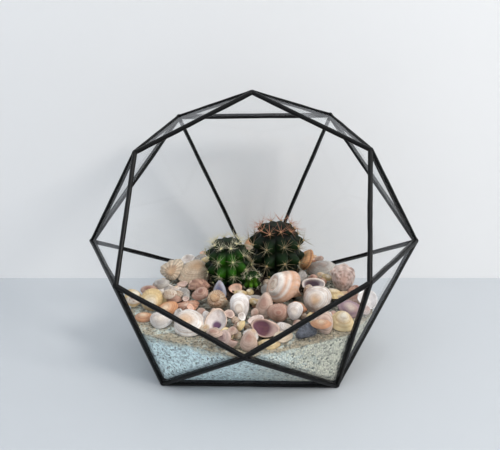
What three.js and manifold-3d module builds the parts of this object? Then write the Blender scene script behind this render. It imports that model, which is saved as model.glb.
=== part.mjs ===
// A geometric glass terrarium planted with three cacti: eighteen triangular panes in a web of
// soldered seams, open at a six-sided mouth, with a bed of sand grit, a plug of soil and a layer
// of sea shells. Millimetres, +Z up. The case stands on its base triangle with the mouth towards
// -Y, and the origin is the middle of the case's outline at table level.

import * as THREE from 'three';
import { mergeVertices } from 'three/addons/utils/BufferGeometryUtils.js';
import Module from 'manifold-3d';

const wasm = await Module();
wasm.setup();

const gap = 0.3; // clearance between pieces that touch

// The case: an open hexagon in front, a larger hexagon behind it turned by half a side, and a point
// at the back, all on one axis that leans so that one back triangle is the base.
const mouthSide = 98;
const ringSide = 125;
const mouthToRing = 55.5;
const ringToTail = 126;

// The case is soldered by hand: how far the mouth's corners lie to the right of their even places
// and above them, from the top one round by the left.
const mouthDrift = [[1.5, 0], [2, 0.5], [-4, -1.5], [0, 0.5], [-2.5, 1.5], [2, 1]];

// Glass and seams. The theoretical faces of the case lie between glass and solder: the glass is
// set back from them by one gap, and the solder stands proud of them.
const glassThickness = 2;
const paneInset = 1.6; // from the theoretical edge to the cut edge of the glass
const seamReach = 1.9; // how far the solder covers each pane, from the edge
const seamFoot = 0.5; // height of the solder at its border
const seamCrown = 0.9; // height of the solder's ridge over the edge
const rimHalfWidth = 1.9;
const rimHalfHeight = 2;
const blobRadius = 2.3; // solder blob at each corner
const blobInset = 0.8;
const restCut = 0.6; // the underside is flat this far below the base triangle

// Fill.
const sandTop = 42; // above the base triangle
const sandSwell = 0.9; // height of its slow waves
const soilRadius = 39;
const soilFootRadius = 24;
const soilFoot = 15;
const soilTop = 43.6; // of its highest crumbs, above the base triangle
const soilDip = 0.8;
const soilCentre = new THREE.Vector2(3, 15);

const degrees = THREE.MathUtils.degToRad;

// Seeded random numbers between 0 and 1.
function randomFrom(seed) {
  let state = seed;
  return () => {
    state = (state * 1664525 + 1013904223) % 4294967296;
    return state / 4294967296;
  };
}

// Closed geometry to solid, and back.
function solidFrom(geometry) {
  const bare = geometry.clone();
  bare.deleteAttribute('normal');
  bare.deleteAttribute('uv');
  const merged = mergeVertices(bare);
  return new wasm.Manifold(new wasm.Mesh({
    numProp: 3,
    vertProperties: merged.attributes.position.array,
    triVerts: new Uint32Array(merged.index.array),
  }));
}

function geometryFrom(solid) {
  const { vertProperties, triVerts } = solid.getMesh();
  const geometry = new THREE.BufferGeometry();
  geometry.setAttribute('position', new THREE.BufferAttribute(vertProperties, 3));
  geometry.setIndex(new THREE.BufferAttribute(triVerts, 1));
  geometry.computeVertexNormals();
  return geometry;
}

// A solid without closed hollows and without slivers.
function cleaned(solid) {
  const slivers = 0.05;
  const [whole] = solid.decompose().sort((one, two) => two.volume() - one.volume());
  return whole.simplify(slivers);
}

function joined(solids) {
  return solids.reduce((whole, solid) => whole.add(solid));
}

function extruded(outline, depth, place) {
  const geometry = new THREE.ExtrudeGeometry(new THREE.Shape(outline), { depth, bevelEnabled: false });
  return solidFrom(geometry.applyMatrix4(place));
}

// A closed skin over rings of equally many points, from a first pole outwards round to a last pole.
// Seen from above, the rings run anticlockwise and the skin goes from the underside to the top.
function skinOver(firstPole, rings, lastPole) {
  const sides = rings[0].length;
  const points = [firstPole, ...rings.flat(), lastPole];
  const last = points.length - 1;
  const index = [];
  for (let side = 0; side < sides; side++) {
    const next = (side + 1) % sides;
    index.push(0, 1 + next, 1 + side);
    for (let ring = 0; ring + 1 < rings.length; ring++) {
      const low = 1 + ring * sides;
      const high = low + sides;
      index.push(low + side, low + next, high + next, low + side, high + next, high + side);
    }
    index.push(last - sides + side, last - sides + next, last);
  }
  return new THREE.BufferGeometry().setFromPoints(points).setIndex(index);
}

// The case's corners.
const lean = Math.atan2(ringSide * Math.sqrt(3) / 2, ringToTail);
const sideAxis = new THREE.Vector3(1, 0, 0);

function casePoint(radius, angle, along) {
  const around = degrees(angle);
  const point = new THREE.Vector3(radius * Math.cos(around), along, radius * Math.sin(around));
  return point.applyAxisAngle(sideAxis, -lean);
}

const sixths = [0, 1, 2, 3, 4, 5];
const mouth = sixths.map((k) => casePoint(mouthSide, 90 + 60 * k, 0));
const ring = sixths.map((k) => casePoint(ringSide, 120 + 60 * k, mouthToRing));
const tail = casePoint(0, 0, mouthToRing + ringToTail);
const originShift = new THREE.Vector3(0, -(mouth[3].y + tail.y) / 2, restCut - ring[2].z);
for (const corner of [...mouth, ...ring, tail]) corner.add(originShift);
mouthDrift.forEach(([right, up], k) => mouth[k].add(new THREE.Vector3(right, 0, up)));
const caseMiddle = new THREE.Vector3().add(ring[1]).add(ring[4]).multiplyScalar(0.5);
const around = (list, k) => list[(k + 6) % 6];

// The panes, each one a triangle of corners with its outward normal.
function paneOf(name, a, b, c) {
  const triangle = new THREE.Triangle(a, b, c);
  const normal = triangle.getNormal(new THREE.Vector3());
  const outward = triangle.getMidpoint(new THREE.Vector3()).sub(caseMiddle).dot(normal);
  const corners = outward > 0 ? [a, b, c] : [a, c, b];
  return { name, corners, normal: normal.multiplyScalar(Math.sign(outward)) };
}

const rimNames = ['upper_left', 'left', 'lower_left', 'lower_right', 'right', 'upper_right'];
const rimPanes = rimNames.map((name, k) => {
  return paneOf(`pane_rim_${name}`, mouth[k], around(mouth, k + 1), ring[k]);
});

const bandNames = ['top', 'shoulder_left', 'flank_left', 'front_foot', 'flank_right', 'shoulder_right'];
const bandPanes = bandNames.map((name, k) => paneOf(`pane_${name}`, around(ring, k - 1), ring[k], mouth[k]));

const tailNames = ['back_left', 'low_left', 'base', 'low_right', 'back_right', 'back_top'];
const tailPanes = tailNames.map((name, k) => paneOf(`pane_${name}`, ring[k], around(ring, k + 1), tail));

const panes = [...rimPanes, ...bandPanes, ...tailPanes];

// A pane's triangle, its sides moved in by inset, as a slab between two heights over its face.
function slab(pane, inset, low, high) {
  const [a, b, c] = pane.corners;
  const sides = [b.distanceTo(c), c.distanceTo(a), a.distanceTo(b)];
  const round = sides[0] + sides[1] + sides[2];
  const inCentre = new THREE.Vector3();
  pane.corners.forEach((corner, k) => inCentre.addScaledVector(corner, sides[k] / round));
  const area = new THREE.Triangle(a, b, c).getArea();
  const shrink = 1 - inset * round / (2 * area);
  const along = b.clone().sub(a).normalize();
  const across = pane.normal.clone().cross(along);
  const outline = pane.corners.map((corner) => {
    const reach = corner.clone().sub(inCentre).multiplyScalar(shrink);
    return new THREE.Vector2(reach.dot(along), reach.dot(across));
  });
  const place = new THREE.Matrix4().makeBasis(along, across, pane.normal);
  place.setPosition(inCentre.addScaledVector(pane.normal, low));
  return extruded(outline, high - low, place);
}

const paneSolid = (pane) => slab(pane, paneInset, -gap - glassThickness, -gap);
const paneSlot = (pane) => slab(pane, paneInset - gap, -2 * gap - glassThickness, 0);

// A bar from corner to corner, its section given across the edge and out from it.
function bar(from, to, outward, section) {
  const along = to.clone().sub(from);
  const length = along.length();
  along.normalize();
  const out = outward.clone().addScaledVector(along, -outward.dot(along)).normalize();
  const across = out.clone().cross(along);
  const place = new THREE.Matrix4().makeBasis(across, out, along).setPosition(from);
  return extruded(section, length, place);
}

// Half the angle between two panes, and a point at a reach and height over one of their faces.
const halfAngle = (one, two) => (Math.PI - one.normal.angleTo(two.normal)) / 2;

function overFace(half, reach, height) {
  const across = reach * Math.sin(half) + height * Math.cos(half);
  return new THREE.Vector2(across, height * Math.sin(half) - reach * Math.cos(half));
}

// How deep the flat solder fillet inside a seam lies below its edge.
const innerHeight = -2 * gap - glassThickness - seamFoot;
const innerReach = (half) => seamReach / 2 - innerHeight / Math.tan(half);
const filletDepth = (half) => -overFace(half, innerReach(half), innerHeight).y;

function seam(from, to, one, two) {
  const half = halfAngle(one, two);
  const right = [
    overFace(half, innerReach(half), innerHeight),
    overFace(half, seamReach, seamFoot),
  ];
  const left = right.map((point) => new THREE.Vector2(-point.x, point.y)).reverse();
  const section = [...right, new THREE.Vector2(0, seamCrown), ...left];
  return bar(from, to, one.normal.clone().add(two.normal), section);
}

function rimBar(from, to, pane) {
  const middle = -gap - glassThickness / 2;
  const toCorner = 1 / Math.cos(Math.PI / 8);
  const section = [];
  for (let corner = 0; corner < 8; corner++) {
    const turn = Math.PI * (1 + 2 * corner) / 8;
    const across = toCorner * rimHalfWidth * Math.cos(turn);
    section.push(new THREE.Vector2(across, middle + toCorner * rimHalfHeight * Math.sin(turn)));
  }
  return bar(from, to, pane.normal, section);
}

function blob(corner) {
  const inward = new THREE.Vector3();
  for (const pane of panes) if (pane.corners.includes(corner)) inward.sub(pane.normal);
  const geometry = new THREE.IcosahedronGeometry(blobRadius, 0);
  const centre = corner.clone().addScaledVector(inward.normalize(), blobInset);
  return solidFrom(geometry.translate(centre.x, centre.y, centre.z));
}

const edges = sixths.flatMap((k) => [
  [mouth[k], ring[k], rimPanes[k], bandPanes[k]],
  [around(mouth, k + 1), ring[k], rimPanes[k], around(bandPanes, k + 1)],
  [around(ring, k - 1), ring[k], bandPanes[k], around(tailPanes, k - 1)],
  [ring[k], tail, around(tailPanes, k - 1), tailPanes[k]],
]);

function solderedFrame() {
  const bars = edges.map(([from, to, one, two]) => seam(from, to, one, two));
  const rim = sixths.map((k) => rimBar(mouth[k], around(mouth, k + 1), rimPanes[k]));
  const web = joined([...bars, ...rim, ...[...mouth, ...ring, tail].map(blob)]);
  const under = solidFrom(new THREE.BoxGeometry(400, 400, 20).translate(0, 0, -10));
  return web.subtract(joined(panes.map(paneSlot))).subtract(under);
}

// What the fill may take up: the room inside the glass, clear of the fillets and of the rim.
function roomInside() {
  let room = solidFrom(new THREE.BoxGeometry(400, 400, 400));
  const keepInside = (point, outward, depth) => {
    const inward = outward.clone().negate();
    room = room.trimByPlane(inward.toArray(), inward.dot(point) + depth);
  };
  for (const pane of panes) keepInside(pane.corners[0], pane.normal, 2 * gap + glassThickness);
  for (const [from, , one, two] of edges) {
    const out = one.normal.clone().add(two.normal).normalize();
    keepInside(from, out, filletDepth(halfAngle(one, two)) + gap);
  }
  const mouthPlane = new THREE.Plane().setFromCoplanarPoints(mouth[0], mouth[2], mouth[4]);
  const forward = mouthPlane.normal.multiplyScalar(Math.sign(-mouthPlane.normal.y));
  keepInside(mouth[0], forward, Math.hypot(rimHalfWidth, rimHalfHeight) + gap);
  return room;
}

// The sand's surface: a level with slow waves.
function sandHeight(x, y) {
  const waves = Math.sin(x / 13 + 1) * Math.cos(y / 17) + 0.6 * Math.sin(x / 29 - y / 11);
  return sandTop + restCut + sandSwell * waves / 1.6;
}

function sandUnderSurface() {
  const depth = 80;
  const geometry = new THREE.BoxGeometry(240, 220, depth, 20, 18, 1).translate(0, 0, sandTop - depth / 2);
  const position = geometry.attributes.position;
  for (let k = 0; k < position.count; k++) {
    if (position.getZ(k) > 0) position.setZ(k, sandHeight(position.getX(k), position.getY(k)));
  }
  return solidFrom(geometry);
}

// The soil plug: a bowl shape whose wall leans outwards and whose top has shallow dips.
const soilLevel = soilTop + restCut;
const soilSlope = (soilRadius - soilFootRadius) / (soilLevel - soilFoot);

function soilShape(grow, top) {
  const sides = 24;
  const level = (share, height, dip) => {
    const points = [];
    for (let side = 0; side < sides; side++) {
      const turn = 2 * Math.PI * side / sides;
      const z = height - dip * (1 + Math.sin(5 * turn + 9 * share)) / 2;
      const radius = share * (soilFootRadius + soilSlope * (z - soilFoot) + grow);
      const [x, y] = [radius * Math.cos(turn), radius * Math.sin(turn)];
      points.push(new THREE.Vector3(soilCentre.x + x, soilCentre.y + y, z));
    }
    return points;
  };
  const rings = [level(1, soilFoot - grow, 0), level(1, top, soilDip), level(0.5, top, soilDip)];
  const pole = (height) => new THREE.Vector3(soilCentre.x, soilCentre.y, height);
  return solidFrom(skinOver(pole(soilFoot - grow), rings, pole(top)));
}

// Cacti. The body is a barrel of ribs, each rib notched between its areoles, on a root that stands
// in a plain hole in the soil.
const rootLength = 12;

const cacti = [
  {
    name: 'cactus_right', x: 18, y: 31, radius: 20.5, height: 42, ribs: 10, areoles: 4,
    rootRadius: 6, spineRadius: 0.45, spineLength: [4.5, 7.5], seed: 3, colour: '#1f3420',
  },
  {
    name: 'cactus_left', x: -20, y: 13, radius: 15.5, height: 36, ribs: 10, areoles: 4,
    rootRadius: 5, spineRadius: 0.4, spineLength: [3.5, 6], seed: 5, colour: '#27481f',
  },
  {
    name: 'cactus_offset', x: -1, y: 3, radius: 7, height: 13, ribs: 8, areoles: 2,
    rootRadius: 3, spineRadius: 0.3, spineLength: [3, 5], seed: 8, colour: '#3f6b22',
  },
];

const ribValley = 0.2; // depth of the valleys, in parts of the radius
const tubercle = 0.08; // how far the areoles stand out between the notches
const barrelFoot = degrees(28); // where the barrel's round starts and ends, from its lower pole
const barrelCrown = degrees(168);

// The body's surface as rings of points: crests and valleys in turn round each ring, and notches
// and areoles in turn up each crest.
function cactusRings(cactus, base) {
  const rows = 2 * cactus.areoles;
  const rings = [];
  for (let row = 0; row <= rows; row++) {
    const swing = THREE.MathUtils.lerp(barrelFoot, barrelCrown, row / rows);
    const barrel = cactus.radius * Math.sin(swing) ** 0.75;
    const rise = THREE.MathUtils.inverseLerp(-Math.cos(barrelFoot), -Math.cos(barrelCrown), -Math.cos(swing));
    const crest = barrel * (row % 2 ? 1 + tubercle : 1 - tubercle);
    const points = [];
    for (let side = 0; side < 2 * cactus.ribs; side++) {
      const turn = Math.PI * side / cactus.ribs;
      const radius = side % 2 ? barrel * (1 - ribValley) : crest;
      const [x, y] = [radius * Math.cos(turn), radius * Math.sin(turn)];
      points.push(new THREE.Vector3(cactus.x + x, cactus.y + y, base + cactus.height * rise));
    }
    rings.push(points);
  }
  return rings;
}

function cactusBody(cactus, base) {
  const pole = (height) => new THREE.Vector3(cactus.x, cactus.y, height);
  return solidFrom(skinOver(pole(base), cactusRings(cactus, base), pole(base + cactus.height)));
}

function spine(from, direction, length, radius) {
  const sunk = 2 * radius;
  const geometry = new THREE.ConeGeometry(radius, length + sunk, 3).translate(0, (length - sunk) / 2, 0);
  const turn = new THREE.Quaternion().setFromUnitVectors(new THREE.Vector3(0, 1, 0), direction);
  return solidFrom(geometry.applyQuaternion(turn).translate(from.x, from.y, from.z));
}

// Three spines spread round each areole, each one rooted in a facet of its own beside it.
function cactusSpines(cactus, base) {
  const random = randomFrom(cactus.seed);
  const rings = cactusRings(cactus, base);
  const heart = new THREE.Vector3(cactus.x, cactus.y, base + cactus.height * 0.4);
  const spines = [];
  for (let row = 1; row < rings.length; row += 2) {
    for (let side = 0; side < rings[row].length; side += 2) {
      const near = (rows, along) => {
        const points = rings[row + rows];
        return points[(side + along + points.length) % points.length];
      };
      const areole = near(0, 0);
      const out = areole.clone().sub(heart).normalize();
      const facets = [[near(0, 1), near(1, 1)], [near(0, -1), near(1, 0)], [near(-1, -1), near(0, -1)]];
      for (const [one, two] of facets) {
        const middle = one.clone().add(two).sub(areole).sub(areole).divideScalar(3);
        const root = areole.clone().addScaledVector(middle, 0.35);
        const direction = middle.normalize().multiplyScalar(0.8).add(out).normalize();
        const length = THREE.MathUtils.lerp(...cactus.spineLength, random()) * (row === 1 ? 0.5 : 1);
        spines.push(spine(root, direction, length, cactus.spineRadius));
      }
    }
  }
  return spines;
}

function rootColumn(cactus, grow, bottom, top) {
  const radius = cactus.rootRadius + grow;
  const geometry = new THREE.CylinderGeometry(radius, radius, top - bottom, 10);
  return solidFrom(geometry.rotateX(Math.PI / 2).translate(cactus.x, cactus.y, (top + bottom) / 2));
}

function plantedCactus(cactus, base) {
  const root = rootColumn(cactus, 0, base - rootLength, base + 2);
  return joined([cactusBody(cactus, base), root, ...cactusSpines(cactus, base)]);
}

const bodyBase = soilLevel + gap;

// Shells.
const wall = 0.9;
const sidesFor = (width) => (width < 13 ? 10 : 12);
const plainSides = 8; // of the many small shells
const valveKinds = {
  cockle: { taper: 0.14, beak: 0.5, fullness: 2.3 },
  clam: { taper: 0.2, beak: 0.35, fullness: 2.2 },
  scallop: { taper: 0.45, beak: 0.55, fullness: 2, ribs: 9 },
  wedge: { taper: 0.32, beak: 0.3, fullness: 2.2 },
  oyster: { taper: 0.22, beak: 0.4, fullness: 2, ribs: 6 },
};

// One valve of a bivalve: a thin arched shell over an outline from the margin (+Y) to the beak. A
// plain one, with few sides, is filled up to its margin.
function valve(kind, [width, length, height], plain) {
  const { taper, beak, fullness, ribs = 0 } = valveKinds[kind];
  const sides = plain ? plainSides : ribs ? 2 * ribs : sidesFor(width);
  const shrink = 1 - 2 * wall / Math.min(width, length);
  const ringAt = (share, size, arch) => {
    const points = [];
    for (let side = 0; side < sides; side++) {
      const turn = Math.PI / 2 + 2 * Math.PI * side / sides;
      const toMargin = Math.sin(turn);
      const ridge = ribs ? 0.05 * Math.cos(ribs * (turn - Math.PI / 2)) * (1 + toMargin) / 2 : 0;
      const reach = size * share * (1 + ridge);
      const x = reach * width / 2 * Math.cos(turn) * (1 + taper * toMargin);
      const y = reach * length / 2 * (toMargin + beak) - beak * length / 2;
      points.push(new THREE.Vector3(x, y, arch * (1 - share ** fullness) + ridge * height * share));
    }
    return points;
  };
  const pole = (level) => new THREE.Vector3(0, -beak * length / 2, level);
  const ringsAt = (shares, size, arch) => shares.map((share) => ringAt(share, size, arch));
  if (plain) return solidFrom(skinOver(pole(0), ringsAt([1, 0.65], 1, height), pole(height)));
  const inside = ringsAt([0.65, 1], shrink, height - wall);
  const outside = ringsAt([1, 0.85, 0.5], 1, height);
  return solidFrom(skinOver(pole(height - wall), [...inside, ...outside], pole(height)));
}

const snailKinds = {
  moon: { turns: 3, growth: 2.1, suture: [0.5, 0.2], foot: [0.15, 1.05], swell: 0.42 },
  turban: { turns: 3, growth: 1.75, suture: [0.62, 0.5], foot: [0.2, 1.35], swell: 0.3 },
  whelk: { turns: 3.5, growth: 1.6, suture: [0.6, 0.95], foot: [0.12, 2.1], swell: 0.26 },
};

// A coiled snail shell, its apex up: whorls that grow by a constant factor each turn, each one
// swollen between its own suture and the next, and the last one swollen down to the foot.
function snail(kind, [width, , height]) {
  const { turns, growth, suture, foot, swell } = snailKinds[kind];
  const sides = width < 11 ? 8 : 12;
  const across = width < 11 ? 2 : 3;
  const last = Math.round(turns * sides);
  const whorlPoint = (step, place) => {
    const size = growth ** ((step - last) / sides);
    const open = THREE.MathUtils.smoothstep(step, last - sides, last - sides / 2);
    const endRadius = THREE.MathUtils.lerp(suture[0] * growth, foot[0], open);
    const endDepth = THREE.MathUtils.lerp(suture[1] * growth, foot[1], open);
    const chord = new THREE.Vector2(endRadius - suture[0], endDepth - suture[1]);
    const out = swell * Math.sin(Math.PI * place) * THREE.MathUtils.lerp(0.35, 1, open);
    const normal = new THREE.Vector2(chord.y, -chord.x).normalize().multiplyScalar(out);
    const radius = size * (suture[0] + chord.x * place + normal.x);
    const depth = size * (suture[1] + chord.y * place + normal.y);
    const turn = 2 * Math.PI * step / sides;
    return new THREE.Vector3(radius * Math.cos(turn), radius * Math.sin(turn), -depth);
  };
  const points = [];
  for (let step = 0; step <= last; step++) {
    for (let k = 0; k < across; k++) points.push(whorlPoint(step, k / across));
  }
  const footRow = points.length;
  for (let step = last - sides; step <= last; step++) points.push(whorlPoint(step, 1));
  const at = (step, k) => {
    if (k < across) return step * across + k;
    return step + sides <= last ? (step + sides) * across : footRow + step - (last - sides);
  };
  const index = [];
  for (let step = 0; step < last; step++) {
    for (let k = 0; k < across; k++) {
      const [a, b, c, d] = [at(step, k), at(step, k + 1), at(step + 1, k + 1), at(step + 1, k)];
      index.push(a, b, c, a, c, d);
    }
  }
  const apex = points.length;
  points.push(new THREE.Vector3(0, 0, 0));
  const start = [];
  for (let k = across - 1; k >= 0; k--) start.push(at(0, k));
  for (let step = 1; step <= sides; step++) start.push(step * across);
  start.forEach((point, k) => index.push(apex, point, start[(k + 1) % start.length]));
  const bottom = points.length;
  points.push(new THREE.Vector3(0, 0, -foot[1]));
  const end = [];
  for (let step = last - sides; step <= last; step++) end.push(at(step, across));
  for (let k = across - 1; k > 0; k--) end.push(at(last, k));
  end.forEach((point, k) => index.push(bottom, end[(k + 1) % end.length], point));
  const geometry = new THREE.BufferGeometry().setFromPoints(points).setIndex(index);
  geometry.computeBoundingBox();
  const size = geometry.boundingBox.getSize(new THREE.Vector3());
  geometry.scale(width / size.x, width / size.x, height / size.z).center();
  return solidFrom(geometry);
}

// A split chip of slate.
function chip(size) {
  const geometry = new THREE.IcosahedronGeometry(0.5, 1);
  const position = geometry.attributes.position;
  for (let k = 0; k < position.count; k++) {
    const x = position.getX(k);
    const y = position.getY(k);
    const ragged = 1 + 0.16 * Math.sin(7 * x + 3 * y) + 0.1 * Math.cos(9 * y - 2 * x);
    const flat = THREE.MathUtils.clamp(position.getZ(k), -0.3, 0.3) / 0.6;
    position.setXYZ(k, x * ragged * size[0], y * ragged * size[1], flat * size[2]);
  }
  return solidFrom(geometry);
}

function shellOf({ kind, size, plain }) {
  if (kind in valveKinds) return valve(kind, size, plain);
  if (kind in snailKinds) return snail(kind, size);
  return chip(size);
}

// A shell turned about its own height by spin, tipped by lean so that its back looks towards face
// (0 is the mouth of the case, 90 the right), and shown from its hollow side where it is open.
function posed(shell) {
  const { face = 0, lean: tip = 0, spin = 0, open = false } = shell;
  const turn = new THREE.Matrix4().makeRotationZ(degrees(face));
  turn.multiply(new THREE.Matrix4().makeRotationX(degrees(tip)));
  turn.multiply(new THREE.Matrix4().makeRotationZ(degrees(spin)));
  if (open) turn.multiply(new THREE.Matrix4().makeRotationY(Math.PI));
  return shellOf(shell).transform(turn.elements);
}

const shells = [
  { name: 'cockle_yellow', kind: 'cockle', size: [17, 17, 7], at: [-73, -29], lean: 55, spin: 20 },
  {
    name: 'clam_cream_far_left', kind: 'clam', size: [17, 13, 5],
    at: [-88, -23], face: 30, lean: 25, spin: 80,
  },
  {
    name: 'cockle_cream_large', kind: 'cockle', size: [27, 27, 12],
    at: [-47, 17], lean: 18, spin: 60, from: 50,
  },
  {
    name: 'scallop_tilted', kind: 'scallop', size: [19, 19, 5],
    at: [-65, 16], face: -25, lean: 42, spin: 35,
  },
  {
    name: 'scallop_grey_back', kind: 'scallop', size: [17, 15, 5],
    at: [-46, 49], face: 10, lean: 15, spin: 160,
  },
  {
    name: 'whelk_brown', kind: 'whelk', size: [13, 13, 22],
    at: [-41, -3], face: 60, lean: 75, from: 58,
  },
  {
    name: 'mussel_blue', kind: 'wedge', size: [10, 16, 4],
    at: [-24, -15], lean: 65, spin: 180, from: 60,
  },
  { name: 'turban_striped', kind: 'turban', size: [15, 15, 18], at: [-24, -31], face: -10, lean: 50 },
  { name: 'scallop_coral', kind: 'scallop', size: [18, 16, 5], at: [-47, -31], lean: 10, spin: 20 },
  {
    name: 'clam_mauve', kind: 'clam', size: [13, 12, 5],
    at: [-38, -19], face: -15, lean: 25, spin: 60,
  },
  {
    name: 'clam_orange_left', kind: 'clam', size: [16, 13, 6],
    at: [-60, -38], face: -20, lean: 35, spin: 30,
  },
  {
    name: 'clam_white_front', kind: 'clam', size: [25, 22, 8],
    at: [-41, -60], face: -10, lean: 25, spin: -35,
  },
  {
    name: 'clam_purple_patch', kind: 'clam', size: [20, 15, 6],
    at: [-22, -61], face: 10, lean: 35, spin: 60, open: true,
  },
  {
    name: 'clam_white_upright', kind: 'clam', size: [14, 20, 6],
    at: [-7, -41], face: -5, lean: 60, spin: 10,
  },
  { name: 'moon_snail_front', kind: 'moon', size: [14, 14, 11], at: [-12, -84], face: -30, lean: 60 },
  { name: 'clam_cream_point', kind: 'wedge', size: [11, 14, 5], at: [2, -85], lean: 50, spin: 180 },
  { name: 'clam_coral_edge', kind: 'clam', size: [14, 11, 4], at: [-76, -45], face: -10, lean: 10 },
  { name: 'clam_pale_left', kind: 'clam', size: [17, 14, 6], at: [-62, -53], face: -10, lean: 30 },
  {
    name: 'clam_grey_pink', kind: 'wedge', size: [13, 20, 6],
    at: [11, -39], face: -10, lean: 55, spin: 180,
  },
  { name: 'clam_mauve_dome', kind: 'cockle', size: [16, 14, 7], at: [21, -47], lean: 40 },
  {
    name: 'moon_snail_large', kind: 'moon', size: [31, 31, 28],
    at: [26, -16], face: -70, lean: 60, spin: 200, from: 70,
  },
  { name: 'whelk_orange', kind: 'whelk', size: [11, 11, 17], at: [34, -38], face: 60, lean: 80 },
  {
    name: 'clam_purple_edge', kind: 'clam', size: [20, 14, 6],
    at: [12, -69], lean: 30, spin: -20, open: true,
  },
  { name: 'slate_chip', kind: 'chip', size: [15, 12, 6], at: [40, -69], face: 10, lean: 35, spin: 20 },
  {
    name: 'clam_white_right', kind: 'clam', size: [21, 21, 8],
    at: [49, -28], face: -20, lean: 45, spin: 10,
  },
  { name: 'clam_dark_inside', kind: 'clam', size: [18, 13, 6], at: [47, -2], lean: 30, open: true },
  { name: 'cockle_grey_large', kind: 'cockle', size: [26, 21, 10], at: [56, 34], lean: 12 },
  {
    name: 'clam_striped_orange', kind: 'cockle', size: [21, 18, 7], at: [43, 34],
    face: -80, lean: 60, from: 54,
  },
  { name: 'oyster_rough', kind: 'oyster', size: [18, 22, 6], at: [70, 4], lean: 55 },
  {
    name: 'clam_purple_right', kind: 'clam', size: [18, 15, 6],
    at: [72, -36], face: 15, lean: 30, spin: -30,
  },
  {
    name: 'clam_yellow_border', kind: 'clam', size: [17, 16, 6],
    at: [65, -56], face: 10, lean: 35, spin: 160,
  },
  {
    name: 'clam_pink_cream', kind: 'clam', size: [14, 17, 6],
    at: [52, -62], face: 10, lean: 50, spin: 15,
  },
  {
    name: 'clam_white_ring', kind: 'clam', size: [16, 15, 5],
    at: [86, -27], face: 30, lean: 45, open: true,
  },
];

// Bunches of small shells that lie on each other, each bunch one solid.
const bunches = [
  {
    name: 'small_shells_left', at: [-61, -14],
    members: [
      { kind: 'whelk', size: [7, 7, 12], at: [0, 2, 1], face: 70, lean: 80 },
      { kind: 'turban', size: [9, 9, 9], at: [6, -3, 1], face: 10, lean: 40 },
      { kind: 'clam', size: [12, 10, 4], at: [9, 3, 0], lean: 20, spin: 90 },
      { kind: 'clam', size: [12, 11, 4.5], at: [-6, 7, 0], lean: 25, spin: 30 },
      { kind: 'whelk', size: [8, 8, 11], at: [-2, -4, 1], face: -50, lean: 70 },
    ],
  },
  {
    name: 'small_shells_right', at: [64, -18],
    members: [
      { kind: 'clam', size: [14, 9, 4], at: [7, 5, 1], lean: 10 },
      { kind: 'whelk', size: [6, 6, 11], at: [0, 3, 1.5], face: 80, lean: 85 },
      { kind: 'clam', size: [13, 10, 4], at: [3, -3, 0], face: 10, lean: 25, spin: 30 },
      { kind: 'turban', size: [7, 7, 7], at: [-7, 3, 1], face: -20, lean: 50 },
      { kind: 'turban', size: [9, 9, 9], at: [12, 7, 2], face: 40, lean: 40 },
    ],
  },
  {
    name: 'small_shells_back', at: [-10, 72],
    members: [
      { kind: 'clam', size: [15, 12, 5], at: [0, 0, 0], face: 180, lean: 20 },
      { kind: 'cockle', size: [13, 12, 5], at: [-10, -4, 0.5], face: 170, lean: 15, spin: 60 },
      { kind: 'turban', size: [9, 9, 9], at: [8, 4, 1.5], face: 150, lean: 55 },
      { kind: 'clam', size: [12, 10, 4], at: [12, -3, 0], face: 200, lean: 25, spin: 40 },
    ],
  },
];

function bunchOf({ members }) {
  return joined(members.map((member) => posed(member).translate(...member.at)));
}

// Small shells on what is left of the bed: one to each cell of a grid, moved, turned and sized at
// random, with its lowest point a little above the bed under it.
const fill = {
  seed: 8, reach: 96, cell: 13, shift: 3, widths: [14, 20], leans: [4, 22],
  kinds: ['clam', 'cockle', 'wedge'], length: 0.85, height: 0.34, lift: gap + 0.15,
};

function bedLevel(x, y) {
  const fromSoil = Math.hypot(x - soilCentre.x, y - soilCentre.y);
  return fromSoil < soilRadius + 2 * gap ? soilLevel : sandHeight(x, y);
}

function fillShells() {
  const random = randomFrom(fill.seed);
  const draw = (low, high) => THREE.MathUtils.lerp(low, high, random());
  const found = [];
  for (let x = -fill.reach; x <= fill.reach; x += fill.cell) {
    for (let y = -fill.reach; y <= fill.reach; y += fill.cell) {
      const at = [x + draw(-fill.shift, fill.shift), y + draw(-fill.shift, fill.shift)];
      const kind = fill.kinds[Math.floor(draw(0, fill.kinds.length))];
      const width = draw(...fill.widths);
      const size = [width, width * fill.length, width * fill.height];
      const [face, tip, spin] = [draw(-180, 180), draw(...fill.leans), draw(0, 360)];
      found.push({ kind, size, at, face, lean: tip, spin, plain: true });
    }
  }
  return found;
}

function laidOnBed(shell) {
  const solid = posed(shell).translate(...shell.at, 0);
  const points = solid.getMesh().vertProperties;
  let rise = -Infinity;
  for (let k = 0; k < points.length; k += 3) {
    rise = Math.max(rise, bedLevel(points[k], points[k + 1]) - points[k + 2]);
  }
  return solid.translate(0, 0, rise + fill.lift);
}

// Each small shell that lies in the room, clear of all else, and overlaps one bunch joins it.
function growBunches(grown, small, room, others) {
  const overlap = 1; // mm3 at least
  const clear = (solid) => solid.subtract(room).isEmpty()
    && others.every((other) => other.minGap(solid, 2 * gap) >= gap);
  const joins = (solid) => {
    const near = grown.filter((bunch) => bunch.solid.minGap(solid, 2 * gap) < gap);
    if (near.length !== 1 || near[0].solid.intersect(solid).volume() < overlap) return false;
    near[0].solid = near[0].solid.add(solid);
    return true;
  };
  let left = small.map(laidOnBed).filter(clear);
  let before = Infinity;
  while (left.length < before) {
    before = left.length;
    left = left.filter((solid) => !joins(solid));
  }
}

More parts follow.
